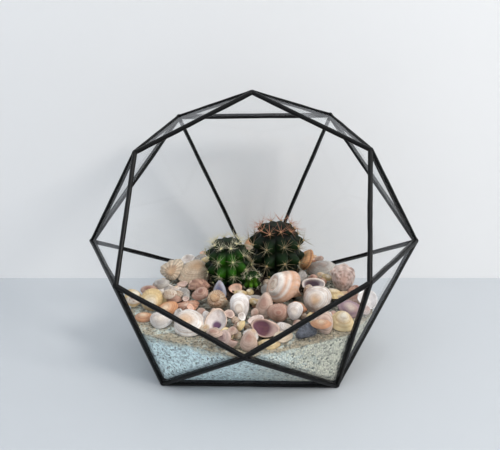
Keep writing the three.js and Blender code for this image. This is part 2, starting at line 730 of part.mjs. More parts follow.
// A piece is let down from above the planting until it lies one gap away from what is under it.
function letDown(solid, [x, y], obstacles, from = 75) {
  const farthest = 20; // of one step down
  const nearEnough = 0.02;
  let lying = solid.translate(x, y, from);
  for (let step = 0; step < 80; step++) {
    const room = Math.min(farthest, ...obstacles.map((other) => lying.minGap(other, farthest))) - gap;
    if (room < nearEnough) break;
    lying = lying.translate(0, 0, -room);
  }
  return lying;
}

// The whole planting, from the bottom up.
const frame = solderedFrame();
const soilPocket = soilShape(gap, soilLevel + 10);
const soilHoles = joined(cacti.map((cactus) => rootColumn(cactus, gap, bodyBase - rootLength - gap, 90)));
const sand = sandUnderSurface().intersect(roomInside()).subtract(soilPocket);
const soil = soilShape(0, soilLevel).subtract(soilHoles);
const plants = cacti.map((cactus) => ({ ...cactus, solid: plantedCactus(cactus, bodyBase) }));

// Materials.
const finish = (colour, roughness, metalness = 0, more = {}) =>
  new THREE.MeshStandardMaterial({ color: colour, roughness, metalness, ...more });
const glassFinish = finish('#e9f1ef', 0.05, 0, { transparent: true, opacity: 0.25 });
const solderFinish = finish('#17171a', 0.45, 0.8);
const sandFinish = finish('#b7c2bd', 0.95);
const soilFinish = finish('#2a1d14', 1);
const shellFinish = finish('#e6d9c8', 0.4);
const slateFinish = finish('#3c4048', 0.8);

const terrarium = new THREE.Group();

function add(name, solid, material) {
  const mesh = new THREE.Mesh(geometryFrom(cleaned(solid)), material.clone());
  mesh.name = name;
  terrarium.add(mesh);
}

add('soldered_frame', frame, solderFinish);
for (const pane of panes) add(pane.name, paneSolid(pane), glassFinish);
add('sand_bed', sand, sandFinish);
add('soil_plug', soil, soilFinish);
for (const plant of plants) add(plant.name, plant.solid, finish(plant.colour, 0.6));

const plantSolids = plants.map((plant) => plant.solid);
const lying = [sand, soil, frame, ...plantSolids, ...panes.map(paneSolid)];
const shellSolids = [];
for (const shell of shells) {
  const solid = letDown(posed(shell), shell.at, [...lying, ...shellSolids], shell.from);
  shellSolids.push(solid);
  add(shell.name, solid, shell.kind === 'chip' ? slateFinish : shellFinish);
}
const grown = [];
for (const bunch of bunches) {
  const others = [...lying, ...shellSolids, ...grown.map((other) => other.solid)];
  grown.push({ name: bunch.name, solid: letDown(bunchOf(bunch), bunch.at, others) });
}
growBunches(grown, fillShells(), roomInside(), [sand, soil, ...plantSolids, ...shellSolids]);
for (const bunch of grown) add(bunch.name, bunch.solid, shellFinish);

export default terrarium;
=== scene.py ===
import math
import bpy
import numpy as np
from mathutils import Matrix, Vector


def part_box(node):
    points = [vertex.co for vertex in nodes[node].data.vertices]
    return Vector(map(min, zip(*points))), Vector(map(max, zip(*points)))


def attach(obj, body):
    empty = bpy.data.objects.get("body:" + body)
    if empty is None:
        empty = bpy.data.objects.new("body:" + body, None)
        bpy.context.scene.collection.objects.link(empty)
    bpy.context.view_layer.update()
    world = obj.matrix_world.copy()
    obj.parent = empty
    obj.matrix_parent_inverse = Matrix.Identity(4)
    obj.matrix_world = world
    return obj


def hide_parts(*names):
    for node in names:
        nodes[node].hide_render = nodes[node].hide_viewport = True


# A faceted glass case with three cacti and a layer of sea shells on sand. Sizes are in millimetres,
# as in the solids, and each mesh is scaled to metres when it is made.
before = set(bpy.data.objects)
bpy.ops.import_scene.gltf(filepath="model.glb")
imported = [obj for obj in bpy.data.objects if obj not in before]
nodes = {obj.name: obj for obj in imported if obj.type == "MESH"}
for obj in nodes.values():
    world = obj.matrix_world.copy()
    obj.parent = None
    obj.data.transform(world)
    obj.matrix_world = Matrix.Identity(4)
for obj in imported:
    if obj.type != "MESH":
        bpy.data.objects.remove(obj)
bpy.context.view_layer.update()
mm = 0.001
print("solids loaded:", len(nodes))


# Materials: their settings are in metres, and scales are in waves or cells a metre

class Wire:
    # one socket of a material's nodes; sums, differences, products and powers of wires add Math nodes
    def __init__(self, tree, socket=None):
        self.tree = tree
        self.socket = socket

    def node(self, kind, inputs=None, settings=None, output=0):
        made = self.tree.nodes.new("ShaderNode" + kind)
        for key, value in (settings or {}).items():
            if key == "stops":
                elements = made.color_ramp.elements
                elements[0].position, elements[0].color = value[0]
                elements[1].position, elements[1].color = value[-1]
                for place, colour in value[1:-1]:
                    elements.new(place).color = colour
            else:
                setattr(made, key, value)
        for key, value in (inputs or {}).items():
            if isinstance(value, Wire):
                self.tree.links.new(value.socket, made.inputs[key])
            else:
                made.inputs[key].default_value = value
        return Wire(self.tree, made.outputs[output] if len(made.outputs) else None)

    def math(self, operation, first, second=0):
        return self.node("Math", {0: first, 1: second}, {"operation": operation})

    def place(self):
        return self.node("TexCoord", output=3)

    def tint(self):
        return self.node("Attribute", settings={"attribute_name": "tint"})

    def mix(self, share, first, second, blend="MIX"):
        settings = {"data_type": "RGBA", "blend_type": blend}
        return self.node("Mix", {0: share, 6: first, 7: second}, settings, 2)

    def surface(self, inputs):
        self.node("OutputMaterial", {"Surface": self.node("BsdfPrincipled", inputs)})

    def noise(self, scale, detail=3.0, rough=0.55):
        # of this place
        return self.node("TexNoise", {"Vector": self, "Scale": scale, "Detail": detail, "Roughness": rough})

    def ramp(self, *stops):
        # this value to the colours of the stops, where a number stands for a grey
        colours = [(at, tone if isinstance(tone, tuple) else (tone, tone, tone, 1)) for at, tone in stops]
        return self.node("ValToRGB", {"Fac": self}, {"stops": colours})

    def bump(self, strength, distance):
        # of this height
        return self.node("Bump", {"Height": self, "Strength": strength, "Distance": distance})

    def __add__(self, other):
        return self.math("ADD", self, other)

    def __sub__(self, other):
        return self.math("SUBTRACT", self, other)

    def __rsub__(self, other):
        return self.math("SUBTRACT", other, self)

    def __mul__(self, other):
        return self.math("MULTIPLY", self, other)

    def __pow__(self, other):
        return self.math("POWER", self, other)

    __radd__ = __add__
    __rmul__ = __mul__


def linear(red, green, blue):
    # a colour of 0 to 255 a channel, as on a screen, to a shader's light
    return tuple((c / 255) ** 2.2 for c in (red, green, blue)) + (1.0,)


def newFinish(name):
    # an empty material and a wire to build its nodes with
    material = bpy.data.materials.new(name)
    material.use_nodes = True
    material.node_tree.nodes.clear()
    return material, Wire(material.node_tree)


def solderFinish():
    # blackened solder: near black, with a brownish grey bloom and the ripples of the iron
    look = {"black": linear(3, 3, 4), "bloom": linear(11, 10, 10), "bloomScale": 160, "rough": 0.25,
            "roughSpread": 0.3, "roughScale": 420, "shine": 0.2, "ripples": 300, "fineRipples": 1400,
            "fineShare": 0.3, "relief": (0.35, 0.0004)}
    material, w = newFinish("blackSolder")
    place = w.place()
    bloom = place.noise(look["bloomScale"]).ramp((0.5, 0), (0.8, 1))
    rough = place.noise(look["roughScale"]) * look["roughSpread"] + look["rough"]
    ripples = place.noise(look["ripples"], 2.0) + place.noise(look["fineRipples"], 2.0) * look["fineShare"]
    w.surface({"Base Color": w.mix(bloom, look["black"], look["bloom"]), "Roughness": rough,
               "Specular IOR Level": look["shine"], "Normal": ripples.bump(*look["relief"])})
    return material


def glassFinish():
    # thin clear glass: straight + (most - straight) grazing ** steep of the light is mirrored, and the rest
    # goes through a faintly tinted sheet
    look = {"tint": (0.997, 0.999, 0.999, 1), "mirror": (0.95, 0.97, 1.0, 1), "straight": 0.014, "most": 0.4,
            "steep": 5.0, "rough": 0.015}
    material, w = newFinish("clearGlass")
    grazing = w.node("LayerWeight", {"Blend": 0.5}, output=1)
    share = grazing ** look["steep"] * (look["most"] - look["straight"]) + look["straight"]
    share = share * (1 - w.node("LightPath", output=1))  # the mirror casts no shadow
    clear = w.node("BsdfTransparent", {"Color": look["tint"]})
    mirror = w.node("BsdfGlossy", {"Color": look["mirror"], "Roughness": look["rough"]})
    w.node("OutputMaterial", {"Surface": w.node("MixShader", {0: share, 1: clear, 2: mirror})})
    return material


def sandFinish(name):
    # grit of millimetre grains, aqua on the left and beige on the right, which are painted bluish light
    # and painted warm light; beige also just under the shells; its top is brown, partly dust and partly
    # painted shade, near the glass, and a painted shade in the gaps nearer the middle
    look = {"grain": 720, "bluishLitAqua": linear(222, 243, 245), "beige": linear(188, 189, 175),
            "dark": linear(92, 100, 94), "brown": linear(150, 134, 108), "gap": linear(84, 68, 50),
            "slowWander": (45, 0.05), "fastWander": (220, 0.03), "middle": 0.008, "lightSplitEdge": 22,
            "band": 0.0385, "bandWander": 0.3, "bandEdge": 180, "top": 0.0416, "topWander": 0.1,
            "topEdge": 900, "gapShadeReach": 0.082, "gapShadeWander": 0.4, "gapShadeEdge": 50, "grainEdgeShadeShare": 0.7,
            "rough": 0.85, "relief": (0.7, 0.001)}
    material, w = newFinish(name)
    place = w.place()
    cells = w.node("TexVoronoi", {"Vector": place, "Scale": look["grain"]}, output=1)
    fromGrain = w.node("TexVoronoi", {"Vector": place, "Scale": look["grain"]})
    pick, other = (w.node("SeparateColor", {"Color": cells}, output=k) for k in range(2))
    x, y, z = (w.node("SeparateXYZ", {"Vector": place}, output=k) for k in range(3))
    slow, fast = ((place.noise(look[key][0]) - 0.5) * look[key][1] for key in ("slowWander", "fastWander"))
    wander = slow + fast
    high = (z + wander * look["bandWander"] - look["band"]) * look["bandEdge"]
    # painted light: the half of larger x takes the painted warm light, the other half the painted bluish
    # light
    right = (x + wander - look["middle"]) * look["lightSplitEdge"]
    beige = (w.math("MAXIMUM", high, right) + pick * 0.5).ramp((0.0, 0), (1.0, 1))
    # the top surface is brown, partly dust and partly painted shade among the shells; nearer the middle it
    # turns to the gap colour, a painted shade in the gaps between them
    fromBand = (z + wander * look["topWander"] - look["top"]) * look["topEdge"]
    fromMiddle = (x * x + y * y) ** 0.5
    inGapShade = (look["gapShadeReach"] - fromMiddle + wander * look["gapShadeWander"]) * look["gapShadeEdge"]
    # brown dust mixed with painted shade, darkest in the gaps near the middle
    dust = w.mix(inGapShade.ramp((0.0, 0), (1.0, 1)), look["brown"], look["gap"])
    base = w.mix(fromBand.ramp((0.0, 0), (1.0, 0.75)), w.mix(beige, look["bluishLitAqua"], look["beige"]), dust)
    grain = pick.ramp((0.0, (0.55, 0.56, 0.56, 1)), (0.4, 0.98), (1.0, (1.32, 1.3, 1.28, 1)))
    specks = other.ramp((0.9, 0), (0.93, 0.75))
    colour = w.mix(specks, w.mix(1.0, base, grain, "MULTIPLY"), look["dark"])
    # each grain darker towards its edge: painted shade between the grains
    rim = fromGrain.ramp((0.45, 1), (0.85, (0.66, 0.68, 0.68, 1)))
    colour = w.mix(look["grainEdgeShadeShare"], colour, rim, "MULTIPLY")
    relief = (1 - fromGrain).bump(*look["relief"])
    w.surface({"Base Color": colour, "Roughness": look["rough"], "Normal": relief})
    return material


# finishes of one grain: its noise, the noise's tones and its relief
grains = {
    "pottingSoil": {"noise": (520, 5.0, 0.65), "rough": 0.95, "relief": (0.8, 0.0012),
                    "tones": ((0.4, linear(24, 17, 12)), (0.72, linear(74, 54, 38)))},
    "slate": {"noise": (500, 4.0), "rough": 0.75, "relief": (0.6, 0.0008),
              "tones": ((0.3, linear(38, 40, 48)), (0.7, linear(86, 90, 100)))},
    "spinesAndWool": {"noise": (900,), "rough": 0.6, "relief": (0.4, 0.0002), "tinted": 0.6,
                      "tones": ((0.3, 0.7), (0.7, 1.25))},
}


def grainFinish(name):
    # where it is tinted, the tones darken and lighten each point's own tint
    look = grains[name]
    material, w = newFinish(name)
    grain = w.place().noise(*look["noise"])
    colour = grain.ramp(*look["tones"])
    if "tinted" in look:
        colour = w.mix(look["tinted"], w.tint(), colour, "MULTIPLY")
    w.surface({"Base Color": colour, "Roughness": look["rough"], "Normal": grain.bump(*look["relief"])})
    return material


def skinFinish(name):
    # cactus skin: the tint of each point, mottled, with pale pores
    look = {"dust": linear(120, 140, 110), "mottle": 380, "mottleShare": 0.7, "pores": 2200, "rough": 0.45,
            "roughSpread": 0.2, "shine": 0.16, "poreDepth": 0.4, "relief": (0.35, 0.0004)}
    material, w = newFinish(name)
    place = w.place()
    mottle = place.noise(look["mottle"], 4.0)
    colour = w.mix(look["mottleShare"], w.tint(), mottle.ramp((0.3, 0.6), (0.7, 1.3)), "MULTIPLY")
    pores = place.noise(look["pores"], 2.0)
    colour = w.mix(pores.ramp((0.62, 0), (0.75, 0.07)), colour, look["dust"])
    relief = (mottle + pores * look["poreDepth"]).bump(*look["relief"])
    w.surface({"Base Color": colour, "Roughness": mottle * look["roughSpread"] + look["rough"],
               "Specular IOR Level": look["shine"], "Normal": relief})
    return material


def shellFinish():
    # shell: each point's tint with chalky clouds and stains, and ridges along the lines of growth
    look = {"clouds": 240, "cloudShare": 0.55, "stains": 130, "stain": linear(146, 104, 76), "lines": 170.0,
            "lineWander": 5, "line": linear(138, 98, 76), "fine": 1500, "ridgeDepth": 0.7, "rough": 0.32,
            "roughSpread": 0.3, "coat": 0.12, "coatRough": 0.25, "relief": (0.5, 0.0003)}
    material, w = newFinish("seaShell")
    place = w.place()
    growth = w.node("Attribute", settings={"attribute_name": "growth"}, output=2)
    clouds = place.noise(look["clouds"], 4.0)
    chalk = clouds.ramp((0.25, (0.56, 0.53, 0.52, 1)), (0.75, (1.22, 1.21, 1.2, 1)))
    colour = w.mix(look["cloudShare"], w.tint(), chalk, "MULTIPLY")
    stains = place.noise(look["stains"], 5.0, 0.65).ramp((0.52, 0), (0.74, 0.5))
    colour = w.mix(stains, colour, look["stain"])
    ridge = w.math("SINE", growth * look["lines"] + clouds * look["lineWander"])
    colour = w.mix(ridge.ramp((0.2, 0), (1.0, 0.34)), colour, look["line"])
    relief = ridge * look["ridgeDepth"] + place.noise(look["fine"], 2.0)
    w.surface({"Base Color": colour, "Roughness": clouds * look["roughSpread"] + look["rough"],
               "Coat Weight": look["coat"], "Coat Roughness": look["coatRough"],
               "Normal": relief.bump(*look["relief"])})
    return material


# Meshes

def around(count):
    # even angles of a full turn
    return np.linspace(0, math.tau, count, endpoint=False)


def cellFaces(a, b, c, d):
    # two triangles to each cell of a grid, whose corners are a, b, c and d in turn
    return np.stack([a, b, c, a, c, d], -1).reshape(-1, 3)


def manySkins(rings, firsts, lasts):
    # closed skins over rings of points: (pieces, rows, columns, 3), with a pole before and after each
    pieces, rows, columns = rings.shape[:3]
    each = rows * columns + 2
    points = np.concatenate([firsts[:, None], rings.reshape(pieces, -1, 3), lasts[:, None]], 1)
    here = 1 + np.arange(rows * columns).reshape(rows, columns)
    beside = np.roll(here, -1, 1)
    start = np.stack([np.zeros(columns, int), beside[0], here[0]], -1)
    end = np.stack([here[-1], beside[-1], np.full(columns, each - 1)], -1)
    faces = np.concatenate([start, cellFaces(here[:-1], beside[:-1], beside[1:], here[1:]), end])
    starts = each * np.arange(pieces)[:, None, None]
    return points.reshape(-1, 3), (faces[None] + starts).reshape(-1, 3)


def skin(rings, first, last):
    # one closed skin over rings of points: (rows, columns, 3)
    return manySkins(rings[None], np.array([first], float), np.array([last], float))


def joinedParts(parts):
    # (points, faces) of several shapes as one, with any values of their points
    starts = np.cumsum([0] + [len(part[0]) for part in parts[:-1]])
    faces = np.concatenate([part[1] + start for part, start in zip(parts, starts)])
    rest = [np.concatenate([part[k] for part in parts]) for k in range(2, len(parts[0]))]
    return (np.concatenate([part[0] for part in parts]), faces, *rest)


def makePiece(name, shape, material, replaced=(), smooth=True):
    # a shape holds points and triangles, and where the finish reads them each point's tint and growth
    points, faces, tints, growth = (*shape, None, None)[:4]
    mesh = bpy.data.meshes.new(name)
    mesh.vertices.add(len(points))
    mesh.vertices.foreach_set("co", (points * mm).astype(np.float32).ravel())
    mesh.loops.add(faces.size)
    mesh.loops.foreach_set("vertex_index", faces.astype(np.int32).ravel())
    mesh.polygons.add(len(faces))
    mesh.polygons.foreach_set("loop_start", np.arange(0, faces.size, 3, dtype=np.int32))
    mesh.polygons.foreach_set("use_smooth", np.full(len(faces), smooth))
    mesh.update(calc_edges=True)
    if tints is not None:
        colours = np.concatenate([tints, np.ones((len(tints), 1))], 1).astype(np.float32)
        mesh.attributes.new("tint", "FLOAT_COLOR", "POINT").data.foreach_set("color", colours.ravel())
    if growth is not None:
        mesh.attributes.new("growth", "FLOAT", "POINT").data.foreach_set("value", growth.astype(np.float32))
    mesh.materials.append(material)
    piece = bpy.data.objects.new(name, mesh)
    bpy.context.scene.collection.objects.link(piece)
    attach(piece, "root")
    if replaced:
        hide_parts(*replaced)


def waves(seed, *values, terms=5, size=1.0):
    # a smooth random value: a sum of sines of the given values, each with its own pitch and start
    rng = np.random.default_rng(seed)
    total = 0
    for _ in range(terms):
        pitch = rng.normal(0, 1, len(values))
        total = total + np.sin(sum(p * v for p, v in zip(pitch, values)) + rng.uniform(0, 6.3))
    return size * total / math.sqrt(terms)


def smoothStep(value, low, high):
    # 0 below low and 1 above high, with t * t * (3 - 2 t) between them
    t = np.clip((value - low) / (high - low), 0, 1)
    return t * t * (3 - 2 * t)


def unit(vectors):
    # each vector over its length
    return vectors / np.linalg.norm(vectors, axis=-1, keepdims=True)


def bulged(value, power):
    # the size of the value to the power, with its sign
    return np.sign(value) * np.abs(value) ** power


def ballRows(tilt, columns):
    # rows of a ball of radius one: x = sin tilt cos spin, y = sin tilt sin spin, z = -cos tilt
    tilt, spin = tilt[:, None], around(columns)[None]
    return np.stack([np.sin(tilt) * np.cos(spin), np.sin(tilt) * np.sin(spin), -np.cos(tilt) + 0 * spin], -1)


def tintOf(rgb):
    # a screen colour as the three shares of a point's tint
    return np.array(linear(*rgb)[:3])


def painted(tints, colour, share):
    # tints moved to the colour by the share: tints + (colour - tints) share
    return tints + (colour - tints) * share[..., None]


# The case

case = {"mouthSide": 98, "ringSide": 125, "mouthToRing": 55.5, "ringToTail": 126, "restCut": 0.6,
        "glass": 2, "gap": 0.3, "seamReach": 1.66, "seamFoot": 0.3, "seamCrown": 0.5, "bead": 0.15,
        "seamCurve": 0.8, "mouthDrift": ((1.5, 0), (2, 0.5), (-4, -1.5), (0, 0.5), (-2.5, 1.5), (2, 1)),
        "rimHalfWidth": 1.8, "rimHalfHeight": 1.7, "rimCurve": 0.85, "blobRadius": 1.75, "blobInset": 1.6,
        "seamRows": 64, "rimRows": 48}
# the iron's slow waves along a seam, each with its size and pitch
iron = {"swell": (0.05, 5), "drift": (0.12, 9), "lift": (0.07, 4), "apart": 7.3, "blobSwell": 0.05}


def casePoints():
    # the thirteen corners: radius and angle round the case's axis and distance along it, then the lean
    lean = math.atan2(case["ringSide"] * math.sqrt(3) / 2, case["ringToTail"])
    sixths = np.arange(6) * 60
    radius = np.concatenate([np.full(6, case["mouthSide"]), np.full(6, case["ringSide"]), [0]])
    angle = np.radians(np.concatenate([90 + sixths, 120 + sixths, [0]]))
    ring, tail = case["mouthToRing"], case["mouthToRing"] + case["ringToTail"]
    along = np.concatenate([np.zeros(6), np.full(6, ring), [tail]])
    flat = np.stack([radius * np.cos(angle), along, radius * np.sin(angle)], 1)
    y = flat[:, 1] * math.cos(lean) + flat[:, 2] * math.sin(lean)
    z = flat[:, 2] * math.cos(lean) - flat[:, 1] * math.sin(lean)
    found = np.stack([flat[:, 0], y, z], 1) + [0, -(y[3] + y[12]) / 2, case["restCut"] - z[8]]
    found[:6, ::2] += case["mouthDrift"]
    return found


corners = casePoints()
caseMiddle = (corners[7] + corners[10]) / 2
sixth = np.arange(6)
after, before = (sixth + 1) % 6, (sixth - 1) % 6
rimPanes = np.stack([sixth, after, sixth + 6], 1)
bandPanes = np.stack([before + 6, sixth + 6, sixth], 1)
tailPanes = np.stack([sixth + 6, after + 6, np.full(6, 12)], 1)
panes = np.concatenate([rimPanes, bandPanes, tailPanes])
firstCorner, secondCorner, thirdCorner = corners[panes].transpose(1, 0, 2)
paneNormals = unit(np.cross(secondCorner - firstCorner, thirdCorner - firstCorner))
paneNormals *= np.sign(((corners[panes].mean(1) - caseMiddle) * paneNormals).sum(1))[:, None]


def insideGlass(points, margin):
    # which points lie within the glass by at least the margin
    depth = ((points[:, None] - firstCorner[None]) * paneNormals[None]).sum(-1)
    return (depth < -(case["glass"] + 2 * case["gap"] + margin)).all(1)


def sweptBars(starts, ends, outward, sections, rows, seed):
    # each bar's closed section (columns, 2) carried from corner to corner, with the iron's slow waves
    along = ends - starts
    length = np.linalg.norm(along, axis=1)
    along = unit(along)
    out = unit(outward - (outward * along).sum(1)[:, None] * along)
    across = np.cross(out, along)
    place = np.linspace(0, 1, rows)[None] * length[:, None]
    number = np.arange(len(starts))[:, None] * iron["apart"]
    swell, drift, lift = (waves(seed + k, place / iron[key][1], number, size=iron[key][0])[..., None]
                          for k, key in enumerate(("swell", "drift", "lift")))
    sideways = sections[:, None, :, 0] * (1 + swell) + drift
    upwards = sections[:, None, :, 1] * ((1 + swell) * 0.5 + 0.5) + lift
    middle = starts[:, None, None] + along[:, None, None] * place[:, :, None, None]
    rings = middle + across[:, None, None] * sideways[..., None] + out[:, None, None] * upwards[..., None]
    return manySkins(rings, rings[:, 0].mean(1), rings[:, -1].mean(1))


def seams():
    # x = reach sin h + height cos h and y = height sin h - reach cos h over each pane, h half the angle
    # between two panes, with a domed ridge outside and a shallow bead inside
    first = np.concatenate([sixth, after, before + 6, sixth + 6])
    second = np.concatenate([sixth + 6, sixth + 6, sixth + 6, np.full(6, 12)])
    one = np.concatenate([sixth, sixth, sixth + 6, before + 12])
    two = np.concatenate([sixth + 6, after + 6, before + 12, sixth + 12])
    cosine = (paneNormals[one] * paneNormals[two]).sum(1)
    half = ((math.pi - np.arccos(cosine)) / 2)[:, None]

    def overPane(reach, height):
        return reach * np.sin(half) + height * np.cos(half), height * np.sin(half) - reach * np.cos(half)

    inner = -2 * case["gap"] - case["glass"] - case["bead"]
    footX, footY = overPane(case["seamReach"], case["seamFoot"])
    innerX, innerY = overPane(case["seamReach"] / 2 - inner / np.tan(half), inner)
    turn = np.linspace(0, math.pi, 13)[None]
    domeX = bulged(np.cos(turn), case["seamCurve"]) * footX
    domeY = footY + (case["seamCrown"] - footY) * np.sin(turn) ** case["seamCurve"]
    beadX = -innerX * np.cos(turn[:, ::2])
    beadY = innerY - case["bead"] * np.sin(turn[:, ::2])
    sections = np.stack([np.concatenate([domeX, beadX], 1), np.concatenate([domeY, beadY], 1)], -1)
    outward = paneNormals[one] + paneNormals[two]
    return sweptBars(corners[first], corners[second], outward, sections, case["seamRows"], 4)


def mouthRim():
    # a rounded bar along the glass edge: x = width bulged cos, y = height bulged sin, its middle in the glass
    angle = around(20)
    x = case["rimHalfWidth"] * bulged(np.cos(angle), case["rimCurve"])
    y = case["rimHalfHeight"] * bulged(np.sin(angle), case["rimCurve"]) - case["gap"] - case["glass"] / 2
    ovals = np.repeat(np.stack([x, y], -1)[None], 6, 0)
    return sweptBars(corners[sixth], corners[after], paneNormals[:6], ovals, case["rimRows"], 9)


def cornerBlobs():
    # a ball of solder with a slow swell at each corner
    inward = np.stack([-paneNormals[(panes == k).any(1)].sum(0) for k in range(len(corners))])
    centres = corners + unit(inward) * case["blobInset"]
    ball = ballRows(np.linspace(0, math.pi, 16)[1:-1], 24)
    swell = 1 + waves(12, *np.moveaxis(ball, -1, 0) * 2, size=iron["blobSwell"])
    rings = centres[:, None, None] + ball[None] * (case["blobRadius"] * swell)[None, ..., None]
    poles = np.array([0, 0, case["blobRadius"]])
    return manySkins(rings, centres - poles, centres + poles)


points, faces = joinedParts([seams(), mouthRim(), cornerBlobs()])
points[:, 2] = np.maximum(points[:, 2], 0)  # the case rests on its lowest seams
makePiece("solderedWeb", (points, faces), solderFinish(), ["soldered_frame"])
clearGlass = glassFinish()
for name, node in nodes.items():
    if name.startswith("pane_"):
        node.material_slots[0].material = clearGlass
print("case made")


# The bed

bed = {"sandTop": 42.6, "swell": 0.9, "soilLevel": 44.2, "soilRadius": 39, "soilCentre": (3, 15),
       "low": -110, "pitch": 0.8, "count": 276}


def sandHeight(x, y):
    # z = top + swell (sin(x / 13 + 1) cos(y / 17) + 0.6 sin(x / 29 - y / 11)) / 1.6
    slow = np.sin(x / 13 + 1) * np.cos(y / 17) + 0.6 * np.sin(x / 29 - y / 11)
    return bed["sandTop"] + bed["swell"] * slow / 1.6


def fromSoil(x, y):
    # the distance from the middle of the soil, seen from above
    return np.hypot(x - bed["soilCentre"][0], y - bed["soilCentre"][1])


axis = bed["low"] + bed["pitch"] * (np.arange(bed["count"]) + 0.5)
mapX, mapY = np.meshgrid(axis, axis, indexing="ij")
heights = sandHeight(mapX, mapY)
inSoil = fromSoil(mapX, mapY) < bed["soilRadius"]
heights[inSoil] = np.maximum(heights[inSoil], bed["soilLevel"])


def cellsOf(points):
    # the cells of the map of heights that the points lie over: (place - low) / pitch
    place = ((points[:, :2] - bed["low"]) / bed["pitch"]).astype(int)
    return tuple(np.clip(place, 0, bed["count"] - 1).T)


def raiseBed(points):
    # what lies on the bed carries what is put there later
    np.maximum.at(heights, cellsOf(points), points[:, 2])


def atLevel(spots, level):
    # x and y with one z for all
    return np.column_stack([spots, np.full(len(spots), level)])


def onSand(spots):
    return insideGlass(atLevel(spots, 43.0), 0.8) & (fromSoil(*spots.T) > bed["soilRadius"] - 3)


def onSoil(spots):
    return fromSoil(*spots.T) < bed["soilRadius"] + 1


def pebbles(grain):
    # each grain is a ball of two rings of five points, at a tilt up and down, its corners moved at random
    rng = np.random.default_rng(grain["seed"])
    spots = rng.uniform(*grain["reach"], (grain["count"], 2))
    spots = spots[grain["where"](spots)]
    count = len(spots)
    size = rng.uniform(*grain["sizes"], count)
    tilt = np.array([-0.46, 0.46])[None, :, None]
    start = rng.uniform(0, 6.3, (count, 1, 1)) + np.array([0, math.pi / 5])[None, :, None]
    spin = around(5) + start
    ring = np.stack([np.cos(tilt) * np.cos(spin), np.cos(tilt) * np.sin(spin), np.sin(tilt) + 0 * spin], -1)
    ring = ring * rng.uniform(0.75, 1.2, (count, 2, 5, 1)) * [1, 1, grain["squash"]]
    z = heights[cellsOf(spots)] - grain["sink"] * size
    centre = np.column_stack([spots, z + size * grain["squash"]])
    pole = np.stack([0 * size, 0 * size, size * grain["squash"]], 1)
    rings = centre[:, None, None] + ring * size[:, None, None, None]
    return manySkins(rings, centre - pole, centre + pole)


sandLook = sandFinish("sandGrit")
soilLook = grainFinish("pottingSoil")
nodes["sand_bed"].material_slots[0].material = sandLook
nodes["soil_plug"].material_slots[0].material = soilLook
looseGrit = {"count": 7000, "seed": 21, "reach": (-100, 100), "where": onSand, "sizes": (0.4, 0.75),
             "sink": 0.35, "squash": 0.8}
soilCrumbs = {"count": 2600, "seed": 22, "reach": (-45, 60), "where": onSoil, "sizes": (0.5, 1.7),
              "sink": 0.4, "squash": 0.7}
makePiece("looseGrit", pebbles(looseGrit), sandLook, smooth=False)
makePiece("soilCrumbs", pebbles(soilCrumbs), soilLook, smooth=False)
print("bed made")


# Cacti

# each body's crest colour, its valley colour, near black, which is painted shade, and a lighter green painted
# as light on its lit side, at the strength lit
cacti = {
    "cactus_right": {
        "place": (18, 31), "radius": 20.9, "height": 42, "ribs": 10, "areoles": 4,
        "slot": "cactus_dark_green", "crest": (17, 33, 15), "valley": (2, 6, 3), "litGreen": (28, 58, 18),
        "lit": 0.4, "spineRadius": 0.17, "spines": 12, "spineLength": (6.5, 11),
        "spineOld": (158, 146, 116), "spineYoung": (190, 128, 100), "wool": (204, 170, 116), "seed": 3,
    },
    "cactus_left": {
        "place": (-19.6, 13), "radius": 16.6, "height": 36, "ribs": 10, "areoles": 4,
        "slot": "cactus_mid_green", "crest": (20, 42, 16), "valley": (3, 9, 4), "litGreen": (48, 100, 12),
        "lit": 0.85, "spineRadius": 0.15, "spines": 17, "spineLength": (5, 9), "spineOld": (178, 172, 140),
        "spineYoung": (222, 214, 184), "wool": (222, 212, 150), "seed": 5,
    },
    "cactus_offset": {
        "place": (-1, 3), "radius": 7, "height": 13, "ribs": 8, "areoles": 2, "slot": "cactus_young_green",
        "crest": (30, 62, 20), "valley": (9, 22, 8), "litGreen": (84, 132, 30), "lit": 0.9, "spineRadius": 0.13,
        "spines": 11, "spineLength": (3, 4.6), "spineOld": (206, 202, 176), "spineYoung": (222, 216, 186),
        "wool": (226, 220, 170), "seed": 8,
    },
}
barrel = {"foot": math.radians(28), "crown": math.radians(168), "curve": 0.75, "valley": 0.24,
          "tubercle": 0.12, "chin": 2.1, "notch": 1.3, "round": 0.012, "sharp": 0.7, "wobble": 0.012,
          "bodyBase": 44.5, "heart": 0.42, "lit": math.radians(284), "stray": 0.07, "rows": 30, "columns": 26}
spineForm = {"even": 0.25, "lift": (0.3, 0.85), "central": 0.15, "sink": 0.3, "low": 0.2, "lowLength": 0.45,
             "droop": 0.06, "rise": 0.04, "thickness": (0.75, 1.1), "taper": 0.85}
wool = {"size": 0.028, "least": 0.22, "sizes": (0.8, 1.25), "squash": 0.7, "tilts": (0.15, 2.4)}


def ribStray(cactus, rib):
    # how far each rib's areoles lie from their even height, in parts of the body's height
    moves = np.random.default_rng(cactus["seed"]).uniform(-1, 1, cactus["ribs"])
    return barrel["stray"] * moves[np.mod(rib, cactus["ribs"])] / cactus["areoles"] * 2


